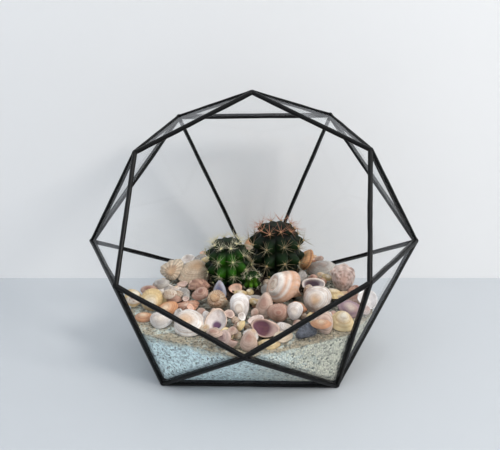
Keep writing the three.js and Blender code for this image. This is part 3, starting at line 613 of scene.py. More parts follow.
def cactusSurface(cactus, row, turn):
    # r = R sin(swing) ** curve times the rib's share, which is sharp along the crest, swells to a chin under
    # each areole and is notched above it; z = base + height times the rise of the cosine of the swing
    swing = barrel["foot"] + (barrel["crown"] - barrel["foot"]) * row
    rise = (math.cos(barrel["foot"]) - np.cos(swing)) / (math.cos(barrel["foot"]) - math.cos(barrel["crown"]))
    wobble = waves(cactus["seed"], row * 5, np.cos(turn) * 2, np.sin(turn) * 2, size=barrel["wobble"])
    place = cactus["ribs"] * turn / math.tau + wobble
    rib = np.floor(place + 0.5).astype(int)
    phase = math.tau * (row - ribStray(cactus, rib)) * cactus["areoles"]
    knot = 0.5 - 0.5 * np.cos(phase + 0.5 * np.sin(phase))
    crest = 1 - barrel["notch"] * barrel["tubercle"] + barrel["chin"] * barrel["tubercle"] * knot ** 1.5
    fromCrest = np.sqrt(4 * (place - rib) ** 2 + barrel["round"])
    width = 1.1 * (1 - fromCrest ** (barrel["sharp"] + barrel["sharp"] * knot))
    reach = 1 - barrel["valley"] + (crest - 1 + barrel["valley"]) * width + wobble
    radius = cactus["radius"] * np.sin(swing) ** barrel["curve"] * reach
    x, y = cactus["place"]
    z = barrel["bodyBase"] + cactus["height"] * rise + 0 * turn
    return np.stack([x + radius * np.cos(turn), y + radius * np.sin(turn), z], -1), width, knot


def cactusBody(cactus):
    # the surface on a grid, with painted shade darkening the valleys and a lighter green painted light on the
    # lit side
    rows = np.linspace(0, 1, barrel["rows"] * cactus["areoles"] + 1)
    row, turn = np.meshgrid(rows, around(barrel["columns"] * cactus["ribs"]), indexing="ij")
    points, width, knot = cactusSurface(cactus, row, turn)
    base, tip = barrel["bodyBase"], barrel["bodyBase"] + 0.98 * cactus["height"]
    body = skin(points, (*cactus["place"], base), (*cactus["place"], tip))
    crest, valley, litGreen = (tintOf(cactus[key]) for key in ("crest", "valley", "litGreen"))
    # lighter along the crests and the chins under the areoles, near black in the valleys: the valleys' dark
    # is painted shade
    share = np.clip(width, 0, 1) ** 0.9 * (0.45 + 0.55 * knot)
    # painted light: a lighter green on the side towards the lamp, fading out near the foot and the crown;
    # young below is this painted light's share, not new growth
    front = smoothStep(np.cos(turn - barrel["lit"]), 0.3, 1) * smoothStep(row, 0.1, 0.35)
    young = cactus["lit"] * front * smoothStep(-row, -0.8, -0.55)
    tints = painted(painted(valley, crest, share), litGreen, young * (0.3 + 0.7 * share)).reshape(-1, 3)
    return (*body, np.concatenate([[valley], tints, [crest]]))


def spineBunch(roots, directions, lengths, radii, droop):
    # tapering needles: point = root + (direction s + droop s ** 2) length, radius (1 - taper s)
    share = np.array([0, 0.3, 0.6, 0.85])
    side = unit(np.cross(directions, [0.31, 0.22, 0.92]))
    other = np.cross(directions, side)
    spin = around(5)
    ring = side[:, None] * np.cos(spin)[None, :, None] + other[:, None] * np.sin(spin)[None, :, None]
    bent = directions[:, None] * share[None, :, None] + droop[:, None] * share[None, :, None] ** 2
    middle = roots[:, None] + bent * lengths[:, None, None]
    thick = radii[:, None, None, None] * (1 - spineForm["taper"] * share)[None, :, None, None]
    tips = roots + (directions + droop) * lengths[:, None]
    return manySkins(middle[:, :, None] + ring[:, None] * thick, middle[:, 0], tips)


def cactusSpines(cactus):
    # spines spread round each areole's seat and one straight out, and its wool; the seats are the solid's
    rng = np.random.default_rng(cactus["seed"])
    rows = (2 * np.arange(cactus["areoles"]) + 1) / (2 * cactus["areoles"])
    turns = math.tau * np.arange(cactus["ribs"]) / cactus["ribs"]
    row, turn = (v.ravel() for v in np.meshgrid(rows, turns, indexing="ij"))
    row = row + ribStray(cactus, np.tile(np.arange(cactus["ribs"]), cactus["areoles"]))
    seats = cactusSurface(cactus, row, turn)[0]
    out = unit(seats - [*cactus["place"], barrel["bodyBase"] + cactus["height"] * barrel["heart"]])
    side = unit(np.cross(out, [0, 0, 1.0]))
    up = np.cross(side, out)
    count = cactus["spines"]
    spread = around(count)[None] + rng.uniform(-spineForm["even"], spineForm["even"], (len(seats), count))
    flat = side[:, None] * np.cos(spread)[..., None] + up[:, None] * np.sin(spread)[..., None]
    lift = rng.uniform(*spineForm["lift"], (len(seats), count, 1))
    central = unit(out + rng.normal(0, spineForm["central"], out.shape))
    directions = np.concatenate([unit(flat + out[:, None] * lift).reshape(-1, 3), central])
    roots = np.concatenate([np.repeat(seats, count, 0), seats]) - spineForm["sink"] * directions
    lowest = np.concatenate([np.repeat(row, count), row]) < spineForm["low"]
    lengths = rng.uniform(*cactus["spineLength"], len(roots)) * np.where(lowest, spineForm["lowLength"], 1)
    droop = rng.normal(0, spineForm["droop"], (len(roots), 3)) + [0, 0, spineForm["rise"]]
    radii = rng.uniform(*spineForm["thickness"], len(roots)) * cactus["spineRadius"]
    needles = spineBunch(roots, directions, lengths, radii, droop)
    height = (needles[0][:, 2] - barrel["bodyBase"]) / cactus["height"]
    old, young = tintOf(cactus["spineOld"]), tintOf(cactus["spineYoung"])
    spineTints = painted(old, young, smoothStep(height, 0.7, 1.0))
    size = cactus["radius"] * wool["size"] + wool["least"]
    dome = (ballRows(np.linspace(*wool["tilts"], 6), 10) * [1, 1, -wool["squash"]])[::-1]
    domes = np.einsum("rcl,nlk->nrck", dome, np.stack([side, up, out], 1)) * size
    domes = seats[:, None, None] + domes * rng.uniform(*wool["sizes"], (len(seats), 1, 1, 1))
    tufts = manySkins(domes, seats - out * size * 0.6, seats + out * size * 0.72)
    woolTints = np.tile(tintOf(cactus["wool"]), (len(tufts[0]), 1))
    return joinedParts([(*needles, spineTints), (*tufts, woolTints)])


spineLook = grainFinish("spinesAndWool")
for name, cactus in cacti.items():
    makePiece(name + "Body", cactusBody(cactus), skinFinish(name + "Skin"), [name])
    makePiece(name + "Spines", cactusSpines(cactus), spineLook)
print("cacti made")


# Shells

# each look's colours at the margin, at the beak, of its lines and inside, and any marks unlike plainMarks
looks = {
    "cream": ((238, 222, 196), (212, 176, 138), (176, 134, 100), (240, 230, 214)),
    "yellow": ((238, 214, 160), (246, 236, 216), (204, 160, 100), (246, 232, 200)),
    "mauve": ((196, 154, 136), (146, 102, 88), (228, 206, 190), (186, 152, 150)),
    "coral": ((228, 172, 144), (240, 208, 186), (186, 112, 84), (244, 210, 190)),
    "white": ((250, 248, 246), (238, 226, 212), (196, 172, 150), (240, 236, 234)),
    "whiteTan": ((249, 247, 243), (222, 186, 150), (196, 160, 128), (240, 234, 228)),
    "greyWhite": ((206, 204, 198), (160, 156, 152), (130, 124, 120), (214, 212, 210)),
    "pinkGrey": ((222, 198, 182), (172, 134, 120), (150, 108, 92), (222, 196, 186)),
    "orange": ((224, 164, 120), (240, 212, 180), (170, 102, 66), (240, 204, 172)),
    "blueGrey": ((186, 190, 206), (98, 106, 142), (70, 74, 104), (150, 150, 180)),
    "purpleIn": ((206, 176, 150), (150, 112, 96), (230, 212, 196), (238, 230, 226),
                {"patch": (84, 52, 92), "patchSize": 0.5}),
    "violetIn": ((206, 178, 160), (140, 104, 94), (222, 200, 184), (216, 186, 176),
                {"patch": (92, 48, 72), "patchSize": 0.95, "patchAt": (0.35, 0.35)}),
    "darkIn": ((228, 216, 204), (140, 112, 96), (150, 112, 100), (212, 204, 204),
              {"patch": (48, 34, 64), "patchSize": 0.85, "patchAt": (0.1, 0.35)}),
    "striped": ((226, 170, 118), (200, 110, 60), (120, 58, 34), (226, 180, 140),
               {"lines": 7, "lineDepth": 0.85}),
    "roughPink": ((228, 208, 198), (196, 160, 146), (176, 140, 128), (236, 220, 212),
                 {"blotch": (150, 116, 104)}),
    "spotted": ((232, 222, 206), (206, 182, 156), (200, 170, 140), (236, 226, 212),
               {"blotch": (150, 102, 72)}),
    "purpleEdge": ((150, 122, 138), (216, 198, 184), (196, 168, 160), (206, 184, 186)),
    "bandedMoon": ((250, 246, 240), (244, 228, 210), (214, 152, 104), (206, 160, 126),
                  {"bands": (0.08, 0.24), "bandDepth": 0.75, "lines": 0, "lip": (224, 164, 122)}),
    "greyMoon": ((204, 176, 166), (170, 140, 138), (222, 200, 190), (104, 54, 26), {"bands": (0.3, 0.7)}),
    "brownTurban": ((222, 204, 178), (226, 186, 142), (138, 90, 60), (230, 200, 170), {"stripes": 26}),
    "roseWhelk": ((212, 172, 148), (196, 152, 130), (134, 92, 84), (232, 196, 176),
                 {"stripes": 11, "blotch": (148, 108, 92)}),
    "orangeWhelk": ((232, 176, 138), (216, 150, 112), (244, 216, 190), (240, 200, 170),
                   {"bands": (0.25, 0.6)}),
    "whiteWhelk": ((230, 220, 206), (206, 186, 164), (160, 124, 94), (236, 220, 204),
                  {"stripes": 9, "blotch": (170, 130, 96)}),
    "slate": ((70, 74, 84), (70, 74, 84), (70, 74, 84), (70, 74, 84)),
}
plainMarks = {"lines": 9, "lineDepth": 0.5, "lineWidth": 0.02, "bands": (), "bandDepth": 0.75,
              "bandWidth": 0.05, "patchAt": (0.1, 0.1)}


def shellTints(look, growth, angle, outside, seed, band=None):
    # margin and beak colours along the growth, with lines, blotches and a patch inside; on snails, whose band
    # is the place across the whorl, also bands, stripes and a coloured last part towards the lip
    margin, beak, line, inside = (tintOf(rgb) for rgb in look[:4])
    mark = {**plainMarks, **dict(*look[4:])}
    growth, angle, outside = (np.asarray(v, float) for v in (growth, angle, outside))
    wobble = waves(seed, np.cos(angle) * 2, np.sin(angle) * 2, growth * 3, size=0.05)
    wide = wobble / 0.05
    tints = painted(beak, margin, smoothStep(growth + wobble, 0.08, 0.75))
    rng = np.random.default_rng(seed)
    for at in np.sort(rng.uniform(0.25, 0.97, mark["lines"])):
        fade = np.exp(-((growth + wobble * 0.3 - at) / mark["lineWidth"]) ** 2)
        tints = painted(tints, line, fade * mark["lineDepth"] * rng.uniform(0.5, 1))
    if band is not None:
        for at in mark["bands"]:
            fade = np.exp(-((band + wobble * 0.4 - at) / mark["bandWidth"]) ** 2)
            tints = painted(tints, line, fade * mark["bandDepth"])
        if "lip" in mark:
            late = smoothStep(growth, 0.6, 0.72) * smoothStep(band + wobble, 0.16, 0.3)
            soft = 0.74 + 0.2 * np.sin(19 * angle + 2 * wide) * np.sin(7 * band + 1)
            tints = painted(tints, tintOf(mark["lip"]), soft * late)
        if "stripes" in mark:
            stripe = smoothStep(np.sin(angle * mark["stripes"] + 3 * wide + 4 * band), 0.1, 0.8) * 0.8
            tints = painted(tints, line, stripe * smoothStep(np.sin(band * math.pi), 0.1, 0.5))
    if "blotch" in mark:
        spots = waves(seed + 5, np.cos(angle) * 7 * growth, np.sin(angle) * 7 * growth, growth * 9)
        tints = painted(tints, tintOf(mark["blotch"]), 0.7 * smoothStep(spots, 0.35, 0.9))
    within = np.broadcast_to(inside, tints.shape)
    if "patch" in mark:
        x, y = mark["patchAt"]
        far = np.hypot(growth * np.cos(angle) - x, growth * np.sin(angle) - y) + wobble
        patch = smoothStep(-far, -mark["patchSize"], -mark["patchSize"] * 0.55)
        within = painted(within, tintOf(mark["patch"]), patch)
    within = painted(within, tints, 0.6 * smoothStep(growth, 0.9, 1.0))
    return painted(within, tints, outside)


valveKinds = {
    "cockle": {"taper": 0.14, "beak": 0.5, "fullness": 2.3, "ribs": 0, "fineRibs": 24, "rays": 0.12},
    "clam": {"taper": 0.2, "beak": 0.35, "fullness": 2.2, "ribs": 0, "fineRibs": 0, "rays": 0},
    "scallop": {"taper": 0.45, "beak": 0.55, "fullness": 2, "ribs": 9, "fineRibs": 16, "rays": 0.4},
    "wedge": {"taper": 0.32, "beak": 0.3, "fullness": 2.2, "ribs": 0, "fineRibs": 0, "rays": 0},
    "oyster": {"taper": 0.22, "beak": 0.4, "fullness": 2, "ribs": 6, "fineRibs": 9, "rays": 0.3},
}
valveRelief = {"wall": 0.75, "ribs": 0.025, "fineRibs": 0.018, "steps": 0.013, "stepPitch": 19,
               "rough": 0.004, "oysterRough": 0.02, "fineGrid": (96, 30), "smallGrid": (30, 9)}


def valve(kind, size, look, seed, fine):
    # x = g w / 2 cos a (1 + taper sin a), y = g l / 2 (sin a + beak) - beak l / 2, z = h (1 - g ** fullness),
    # g the growth from beak to margin and a the angle round it, inside and then outside
    width, length, height = size
    form = valveKinds[kind]
    wall = valveRelief["wall"]
    columns, rows = valveRelief["fineGrid" if fine else "smallGrid"]
    angle = math.pi / 2 + around(columns)[None]
    toMargin = np.sin(angle)
    growthOut = np.linspace(1, 0.04, rows)[:, None] ** 0.8
    growthIn = np.linspace(0.15, 1, rows // 2)[:, None]
    shrink = 1 - 2 * wall / min(width, length)
    roughness = valveRelief["oysterRough" if kind == "oyster" else "rough"]

    def sheet(growth, scale, arch, share):
        ribs = valveRelief["ribs"] * np.cos(form["ribs"] * (angle - math.pi / 2)) * (form["ribs"] > 0)
        fineRibs = valveRelief["fineRibs"] * np.cos(form["fineRibs"] * angle) * (form["fineRibs"] > 0)
        ridge = (ribs + fineRibs) * (1 + toMargin) / 2 * share
        edges = np.sin(growth * valveRelief["stepPitch"] + 2.5 * np.sin(2 * angle + seed))
        steps = valveRelief["steps"] * edges * growth * share
        rough = roughness * waves(seed, growth * 9, np.cos(angle) * 3, np.sin(angle) * 3)
        reach = scale * growth * (1 + ridge + steps)
        x = reach * width / 2 * np.cos(angle) * (1 + form["taper"] * toMargin)
        y = reach * length / 2 * (toMargin + form["beak"]) - form["beak"] * length / 2
        z = arch * (1 - growth ** form["fullness"]) + (ridge + steps + rough * share) * height * growth
        return np.stack([x, y, z], -1)

    rings = np.concatenate([sheet(growthIn, shrink, height - wall, 0.5), sheet(growthOut, 1, height, 1)])
    pole = np.array([0, -form["beak"] * length / 2, 0])
    points, faces = skin(rings, pole + [0, 0, height - wall], pole + [0, 0, height])
    growth = np.concatenate([[0], np.concatenate([growthIn, growthOut]).repeat(columns, 1).ravel(), [0]])
    outside = np.concatenate([np.zeros(1 + growthIn.size * columns), np.ones(growthOut.size * columns + 1)])
    turn = np.concatenate([[0], np.broadcast_to(angle, (len(growthIn) + rows, columns)).ravel(), [0]])
    rays = form["rays"] * outside * (0.5 + 0.5 * np.cos(form["fineRibs"] * turn))
    rays = rays * smoothStep(growth, 0.1, 0.4)
    return points, faces, shellTints(look, growth, turn, outside, seed) * (1 - rays[:, None]), growth


snailKinds = {  # the suture and the foot are places by their distance from the axis and their depth
    "moon": {"turns": 3, "growth": 2.1, "suture": (0.5, 0.2), "foot": (0.15, 1.05), "swell": 0.42,
             "knobs": 0},
    "turban": {"turns": 3, "growth": 1.75, "suture": (0.62, 0.5), "foot": (0.2, 1.35), "swell": 0.3,
               "knobs": 0.07},
    "whelk": {"turns": 3.5, "growth": 1.6, "suture": (0.6, 0.95), "foot": (0.12, 2.1), "swell": 0.26,
              "knobs": 0.11},
}
snailForm = {"knobPitch": 11, "finePoints": (44, 12), "smallPoints": (20, 6), "lines": 12,
             "throatTurns": (0, 3, 14, 30, 50, 72), "throatWidths": (0.84, 0.78, 0.74, 0.68, 0.6, 0.5)}


def snail(kind, size, look, seed, fine):
    # whorls grow by one factor a turn; across each whorl the section runs from its suture to the next one and
    # swells outwards by sin(pi place), and the last whorl runs down to the foot and ends in the aperture
    form = snailKinds[kind]
    sides, across = snailForm["finePoints" if fine else "smallPoints"]
    last = int(round(form["turns"] * sides))
    suture, foot = np.array(form["suture"]), np.array(form["foot"])

    def section(step, place):
        scale = form["growth"] ** ((step - last) / sides)
        opening = smoothStep(step, last - sides, last - sides / 2)
        endRadius, endDepth = (suture[k] * form["growth"] + (foot[k] - suture[k] * form["growth"]) * opening
                               for k in range(2))
        chordX, chordY = endRadius - suture[0], endDepth - suture[1]
        length = np.hypot(chordX, chordY)
        turn = math.tau * step / sides
        ribbing = 1 + form["knobs"] * np.sin(turn * snailForm["knobPitch"]) * np.sin(math.pi * place)
        out = form["swell"] * np.sin(math.pi * place) * (0.35 + 0.65 * opening) * ribbing
        radius = scale * (suture[0] + chordX * place + out * chordY / length)
        depth = scale * (suture[1] + chordY * place - out * chordX / length)
        return np.stack([radius * np.cos(turn), radius * np.sin(turn), -depth], -1)

    steps = np.arange(last + 1.0)[:, None]
    places = (np.arange(across) / across)[None]
    footSteps = np.arange(last - sides, last + 1.0)
    points = np.concatenate([section(steps, places).reshape(-1, 3), section(footSteps, 1.0)])
    footRow = (last + 1) * across

    def at(step, k):
        # a point's number: the end of a section is the start of the one a turn later, or on the foot's row
        joined = np.where(step + sides <= last, (step + sides) * across, footRow + step - (last - sides))
        return np.where(k < across, step * across + k, joined)

    step, k = (v.ravel() for v in np.meshgrid(np.arange(last), np.arange(across), indexing="ij"))
    faces = [cellFaces(at(step, k), at(step, k + 1), at(step + 1, k + 1), at(step + 1, k))]
    apex, footPoint = len(points), len(points) + 1
    points = np.concatenate([points, [[0, 0, 0], [0, 0, -foot[1]]]])
    start = np.concatenate([np.arange(across - 1, -1, -1), np.arange(1, sides + 1) * across])
    faces.append(np.stack([np.full(len(start), apex), start, np.roll(start, -1)], 1))
    rim = at(np.arange(last - sides, last + 1), across)
    faces.append(np.stack([np.full(sides, footPoint), rim[1:], rim[:-1]], 1))
    # the aperture: the end section as a lip, then turned back into the last whorl and drawn in
    loop = np.concatenate([[footPoint], at(np.full(across + 1, last), np.arange(across + 1))])
    edge = points[loop]
    middle = edge.mean(0)
    back = np.radians(np.array(snailForm["throatTurns"]))[:, None]
    inner = middle + (edge - middle)[None] * np.array(snailForm["throatWidths"])[:, None, None]
    x = inner[..., 0] * np.cos(back) + inner[..., 1] * np.sin(back)
    y = inner[..., 1] * np.cos(back) - inner[..., 0] * np.sin(back)
    throat = np.stack([x, y, inner[..., 2]], -1)
    layers = np.concatenate([loop[None], len(points) + np.arange(x.size).reshape(x.shape)])
    beside = np.roll(layers, -1, 1)
    faces.append(cellFaces(layers[:-1], beside[:-1], beside[1:], layers[1:]))
    points = np.concatenate([points, throat.reshape(-1, 3), throat[-1].mean(0)[None]])
    faces.append(np.stack([layers[-1], beside[-1], np.full(len(loop), len(points) - 1)], -1))
    width, _, height = size
    spanX, _, spanZ = np.ptp(points, 0)
    points = points * [width / spanX, width / spanX, height / spanZ]
    points = points - (points.max(0) + points.min(0)) / 2
    inside = x.size + 1
    stepOf = np.concatenate([np.repeat(steps.ravel(), across), footSteps, [0, last], np.full(inside, last)])
    placeOf = np.concatenate([np.tile(places.ravel(), last + 1), np.ones(sides + 1), [0, 1],
                              np.full(inside, 0.5)])
    outside = np.concatenate([np.ones(len(points) - inside), np.zeros(inside)])
    growth = stepOf / last
    tints = shellTints(look, growth * outside, math.tau * stepOf / sides, outside, seed, band=placeOf)
    return points, np.concatenate(faces), tints, growth * snailForm["lines"]


def chip(kind, size, look, seed, fine):
    # a split flake: a ball cut flat at top and bottom, its outline 1 + a few sines of x and y
    ball = ballRows(np.linspace(0, math.pi, 16)[1:-1], 26) / 2
    x, y, z = np.moveaxis(ball, -1, 0)
    ragged = 1 + 0.16 * np.sin(7 * x + 3 * y) + 0.1 * np.cos(9 * y - 2 * x)
    ragged = ragged + 0.05 * np.sin(19 * x) * np.cos(23 * y)
    flat = np.clip(z, -0.3, 0.3) / 0.6 + 0.05 * np.sin(11 * x + 5 * y)
    rings = np.stack([x * ragged * size[0], y * ragged * size[1], flat * size[2]], -1)
    points, faces = skin(rings, (0, 0, -size[2] / 2), (0, 0, size[2] / 2))
    growth = np.full(len(points), 0.5)
    return points, faces, shellTints(look, growth, growth, growth * 2, seed), growth


def turned(turns, hollowUp=False):
    # about its own height by spin, tipped by lean, and its back turned by face
    face, lean, spin = (math.radians(angle) for angle in turns)
    turn = Matrix.Rotation(face, 3, "Z") @ Matrix.Rotation(lean, 3, "X") @ Matrix.Rotation(spin, 3, "Z")
    if hollowUp:
        turn = turn @ Matrix.Rotation(math.pi, 3, "Y")
    return np.array(turn)


def makeShell(seed, kind, look, size, turns, hollowUp=False, fine=True):
    # a valve, a snail or a chip of slate, turned
    make = valve if kind in valveKinds else snail if kind in snailKinds else chip
    points, *rest = make(kind, size, looks[look], seed, fine)
    return points @ turned(turns, hollowUp).T, *rest


# the named shells: kind, look, size in millimetres, and face, lean and spin in degrees
shells = {
    "cockle_yellow": ("cockle", "yellow", (17, 17, 7), (0, 55, 20)),
    "clam_cream_far_left": ("clam", "yellow", (17, 13, 5), (30, 25, 80)),
    "cockle_cream_large": ("cockle", "cream", (27, 27, 12), (0, 18, 60)),
    "scallop_tilted": ("scallop", "cream", (19, 19, 5), (-25, 42, 35)),
    "scallop_grey_back": ("scallop", "greyWhite", (17, 15, 5), (10, 15, 160)),
    "whelk_brown": ("whelk", "roseWhelk", (13, 13, 22), (60, 75, 0)),
    "mussel_blue": ("wedge", "blueGrey", (10, 16, 4), (0, 65, 180)),
    "turban_striped": ("turban", "brownTurban", (15, 15, 18), (-10, 50, 0)),
    "scallop_coral": ("scallop", "coral", (18, 16, 5), (0, 10, 20)),
    "clam_mauve": ("clam", "mauve", (13, 12, 5), (-15, 25, 60)),
    "clam_orange_left": ("clam", "orange", (16, 13, 6), (-20, 35, 30)),
    "clam_white_front": ("clam", "whiteTan", (25, 22, 8), (-10, 25, -35)),
    "clam_purple_patch": ("clam", "purpleIn", (20, 15, 6), (10, 35, 60)),
    "clam_white_upright": ("clam", "white", (14, 20, 6), (-5, 60, 10)),
    "moon_snail_front": ("moon", "greyMoon", (14, 14, 11), (-30, 60, 0)),
    "clam_cream_point": ("wedge", "pinkGrey", (11, 14, 5), (0, 50, 180)),
    "clam_coral_edge": ("clam", "orange", (14, 11, 4), (-10, 10, 0)),
    "clam_pale_left": ("clam", "white", (17, 14, 6), (-10, 30, 0)),
    "clam_grey_pink": ("wedge", "pinkGrey", (13, 20, 6), (-10, 55, 180)),
    "clam_mauve_dome": ("cockle", "mauve", (16, 14, 7), (0, 40, 0)),
    "moon_snail_large": ("moon", "bandedMoon", (31, 31, 28), (-70, 60, 200)),
    "whelk_orange": ("whelk", "orangeWhelk", (11, 11, 17), (60, 80, 0)),
    "clam_purple_edge": ("clam", "violetIn", (20, 14, 6), (0, 30, -20)),
    "slate_chip": ("chip", "slate", (15, 12, 6), (10, 35, 20)),
    "clam_white_right": ("clam", "whiteTan", (21, 21, 8), (-20, 45, 10)),
    "clam_dark_inside": ("clam", "darkIn", (18, 13, 6), (0, 30, 0)),
    "cockle_grey_large": ("cockle", "greyWhite", (26, 21, 10), (0, 12, 0)),
    "clam_striped_orange": ("cockle", "striped", (21, 18, 7), (-80, 60, 0)),
    "oyster_rough": ("oyster", "roughPink", (18, 22, 6), (0, 55, 0)),
    "clam_purple_right": ("clam", "purpleEdge", (18, 15, 6), (15, 30, -30)),
    "clam_yellow_border": ("clam", "yellow", (17, 16, 6), (10, 35, 160)),
    "clam_pink_cream": ("clam", "pinkGrey", (14, 17, 6), (10, 50, 15)),
    "clam_white_ring": ("clam", "white", (16, 15, 5), (30, 45, 0)),
}
openShells = ("clam_purple_patch", "clam_purple_edge", "clam_dark_inside", "clam_white_ring")
# bunches of small shells, their places from the bunch's own, and a few more put down between the larger ones
bunchPlaces = {"small_shells_left": (-61, -14), "small_shells_right": (64, -18),
               "small_shells_back": (-10, 72)}
bunches = {
    "small_shells_left": [
        ((0, 2, 1), "whelk", "whiteWhelk", (7, 7, 12), (70, 80, 0)),
        ((6, -3, 1), "turban", "whiteWhelk", (9, 9, 9), (10, 40, 0)),
        ((9, 3, 0), "clam", "greyWhite", (12, 10, 4), (0, 20, 90)),
        ((-6, 7, 0), "clam", "greyWhite", (12, 11, 4.5), (0, 25, 30)),
        ((-2, -4, 1), "whelk", "roseWhelk", (8, 8, 11), (-50, 70, 0)),
    ],
    "small_shells_right": [
        ((7, 5, 1), "clam", "cream", (14, 9, 4), (0, 10, 0)),
        ((0, 3, 1.5), "whelk", "whiteWhelk", (6, 6, 11), (80, 85, 0)),
        ((3, -3, 0), "clam", "spotted", (13, 10, 4), (10, 25, 30)),
        ((-7, 3, 1), "turban", "orangeWhelk", (7, 7, 7), (-20, 50, 0)),
        ((12, 7, 2), "turban", "roseWhelk", (9, 9, 9), (40, 40, 0)),
    ],
    "small_shells_back": [
        ((0, 0, 0), "clam", "mauve", (15, 12, 5), (180, 20, 0)),
        ((-10, -4, 0.5), "cockle", "cream", (13, 12, 5), (170, 15, 60)),
        ((8, 4, 1.5), "turban", "whiteWhelk", (9, 9, 9), (150, 55, 0)),
        ((12, -3, 0), "clam", "coral", (12, 10, 4), (200, 25, 40)),
    ],
}
fillers = [
    ((-76, -9), "clam", "mauve", (13, 10, 4), (0, 20, 0)),
    ((-70, -3), "clam", "greyWhite", (12, 10, 4), (0, 25, 0)),
    ((-63, -27), "clam", "spotted", (11, 9, 3.5), (-20, 30, 0)),
    ((-36, -42), "clam", "pinkGrey", (14, 9, 4), (0, 20, 90)),
    ((0, -18), "clam", "greyWhite", (12, 9, 4), (0, 30, 0)),
    ((-10, -62), "turban", "orangeWhelk", (6, 6, 6), (0, 40, 0)),
    ((-2, -62), "turban", "whiteWhelk", (6, 6, 6), (0, 30, 0)),
    ((-18, -86), "clam", "pinkGrey", (12, 9, 3), (-30, 10, 0)),
    ((30, -48), "clam", "white", (11, 13, 4), (-10, 50, 0)),
    ((13, -80), "clam", "yellow", (15, 10, 4), (0, 15, 0)),
    ((28, -63), "wedge", "white", (8, 14, 3), (40, 35, 60)),
    ((27, -75), "wedge", "cream", (9, 15, 4), (50, 25, 70)),
    ((37, -47), "turban", "whiteWhelk", (5, 5, 5), (0, 40, 0)),
    ((45, -41), "clam", "orange", (9, 8, 3), (0, 20, 0)),
    ((37, 18), "clam", "mauve", (10, 8, 3), (0, 30, 0)),
    ((56, -50), "clam", "coral", (12, 10, 4), (10, 30, 0)),
    ((52, -73), "clam", "orange", (14, 9, 4), (0, 15, 0)),
    ((-82, -33), "clam", "spotted", (13, 9, 4), (0, 10, 0)),
]
shellLook = shellFinish()


def boxOf(node):
    # the low and the high corner of a solid
    return (np.array(corner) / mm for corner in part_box(node))


for number, (name, shell) in enumerate(shells.items()):
    points, *rest = makeShell(100 + number, *shell, hollowUp=name in openShells)
    low, high = boxOf(name)
    points = points + (low + high) / 2 - (points.min(0) + points.max(0)) / 2
    raiseBed(points)
    finish, slot = (grainFinish("slate"), "slate") if shell[0] == "chip" else (shellLook, "shell")
    makePiece(name + "_shell", (points, *rest), finish, [name])
print("shells made")

# small shells by the solids' rule: one to each cell of a grid, moved, turned and sized at random
fill = {"seed": 8, "reach": 96, "cell": 13, "shift": 3, "widths": (14, 20), "leans": (4, 22), "lift": 0.45,
        "kinds": ("clam", "cockle", "wedge"), "length": 0.85, "height": 0.34, "sides": 8,
        "looks": ("cream", "mauve", "white", "coral", "greyWhite", "pinkGrey", "yellow", "whiteTan",
                  "spotted", "orange")}


def fillShells():
    # the random numbers are the solids' own: state = (1664525 state + 1013904223) mod 2 ** 32
    state = fill["seed"]

    def draw(low, high):
        nonlocal state
        state = (state * 1664525 + 1013904223) % 2 ** 32
        return low + (high - low) * state / 2 ** 32

    cells = range(-fill["reach"], fill["reach"] + 1, fill["cell"])
    found = []
    for x in cells:
        for y in cells:
            at = (x + draw(-fill["shift"], fill["shift"]), y + draw(-fill["shift"], fill["shift"]))
            kind = fill["kinds"][int(draw(0, len(fill["kinds"])))]
            width = draw(*fill["widths"])
            look = fill["looks"][len(found) % len(fill["looks"])]
            turns = (draw(-180, 180), draw(*fill["leans"]), draw(0, 360))
            found.append((at, kind, look, (width, width * fill["length"], width * fill["height"]), turns))
    return found


def solidMarks(sides, at, kind, look, size, turns):
    # the top of a valve's dome and the corners of its margin, as the solid has them
    width, length, height = size
    form = valveKinds[kind]
    angle = math.pi / 2 + math.tau * np.arange(sides) / sides
    x = width / 2 * np.cos(angle) * (1 + form["taper"] * np.sin(angle))
    y = length / 2 * np.sin(angle)
    marks = np.concatenate([[[0, -form["beak"] * length / 2, height]], np.stack([x, y, 0 * x], 1)])
    return marks @ turned(turns).T + (*at, 0)[:3]


def risesTo(marks, solid):
    # how far above the marks the solid has points in the same places seen from above
    apart = np.abs(marks[:, None, :2] - solid[None, :, :2]).max(-1)
    mark, point = np.nonzero(apart < 0.06)
    return solid[point, 2] - marks[mark, 2]


def bedLevel(x, y):
    # the soil's level over the soil and the sand's height round it
    return np.where(fromSoil(x, y) < bed["soilRadius"] + 0.6, bed["soilLevel"], sandHeight(x, y))


def layBunch(name, members, place, small):
    # the solid shows how high the placed members lie, and which of the rule's shells it has
    solid = np.array([vertex.co for vertex in nodes[name].data.vertices]) / mm
    rises = [risesTo(solidMarks(10 if member[3][0] < 13 else 12, *member) + (*place, 0), solid)
             for member in members if member[1] in valveKinds]
    rise = np.median(np.concatenate(rises))
    parts = []
    for k, (at, *member) in enumerate(members):
        points, *rest = makeShell(200 + 10 * len(members) + k, *member)
        parts.append((points + at + (*place, rise), *rest))
    for k, (at, *shell) in enumerate(small):
        points, *rest = makeShell(400 + k, *shell)
        points = points + (*at, 0)
        lift = (bedLevel(*points[:, :2].T) - points[:, 2]).max() + fill["lift"]
        marks = solidMarks(fill["sides"], at, *shell)
        if (np.abs(risesTo(marks, solid) - lift) < 1).sum() > 1:
            parts.append((points + (0, 0, lift), *rest))
    shape = joinedParts(parts)
    raiseBed(shape[0])
    makePiece(name + "_group", shape, shellLook, [name])
    print(name, "shells", len(parts), "rise", round(rise, 2))


small = fillShells()
for name, members in bunches.items():
    layBunch(name, members, bunchPlaces[name], small)


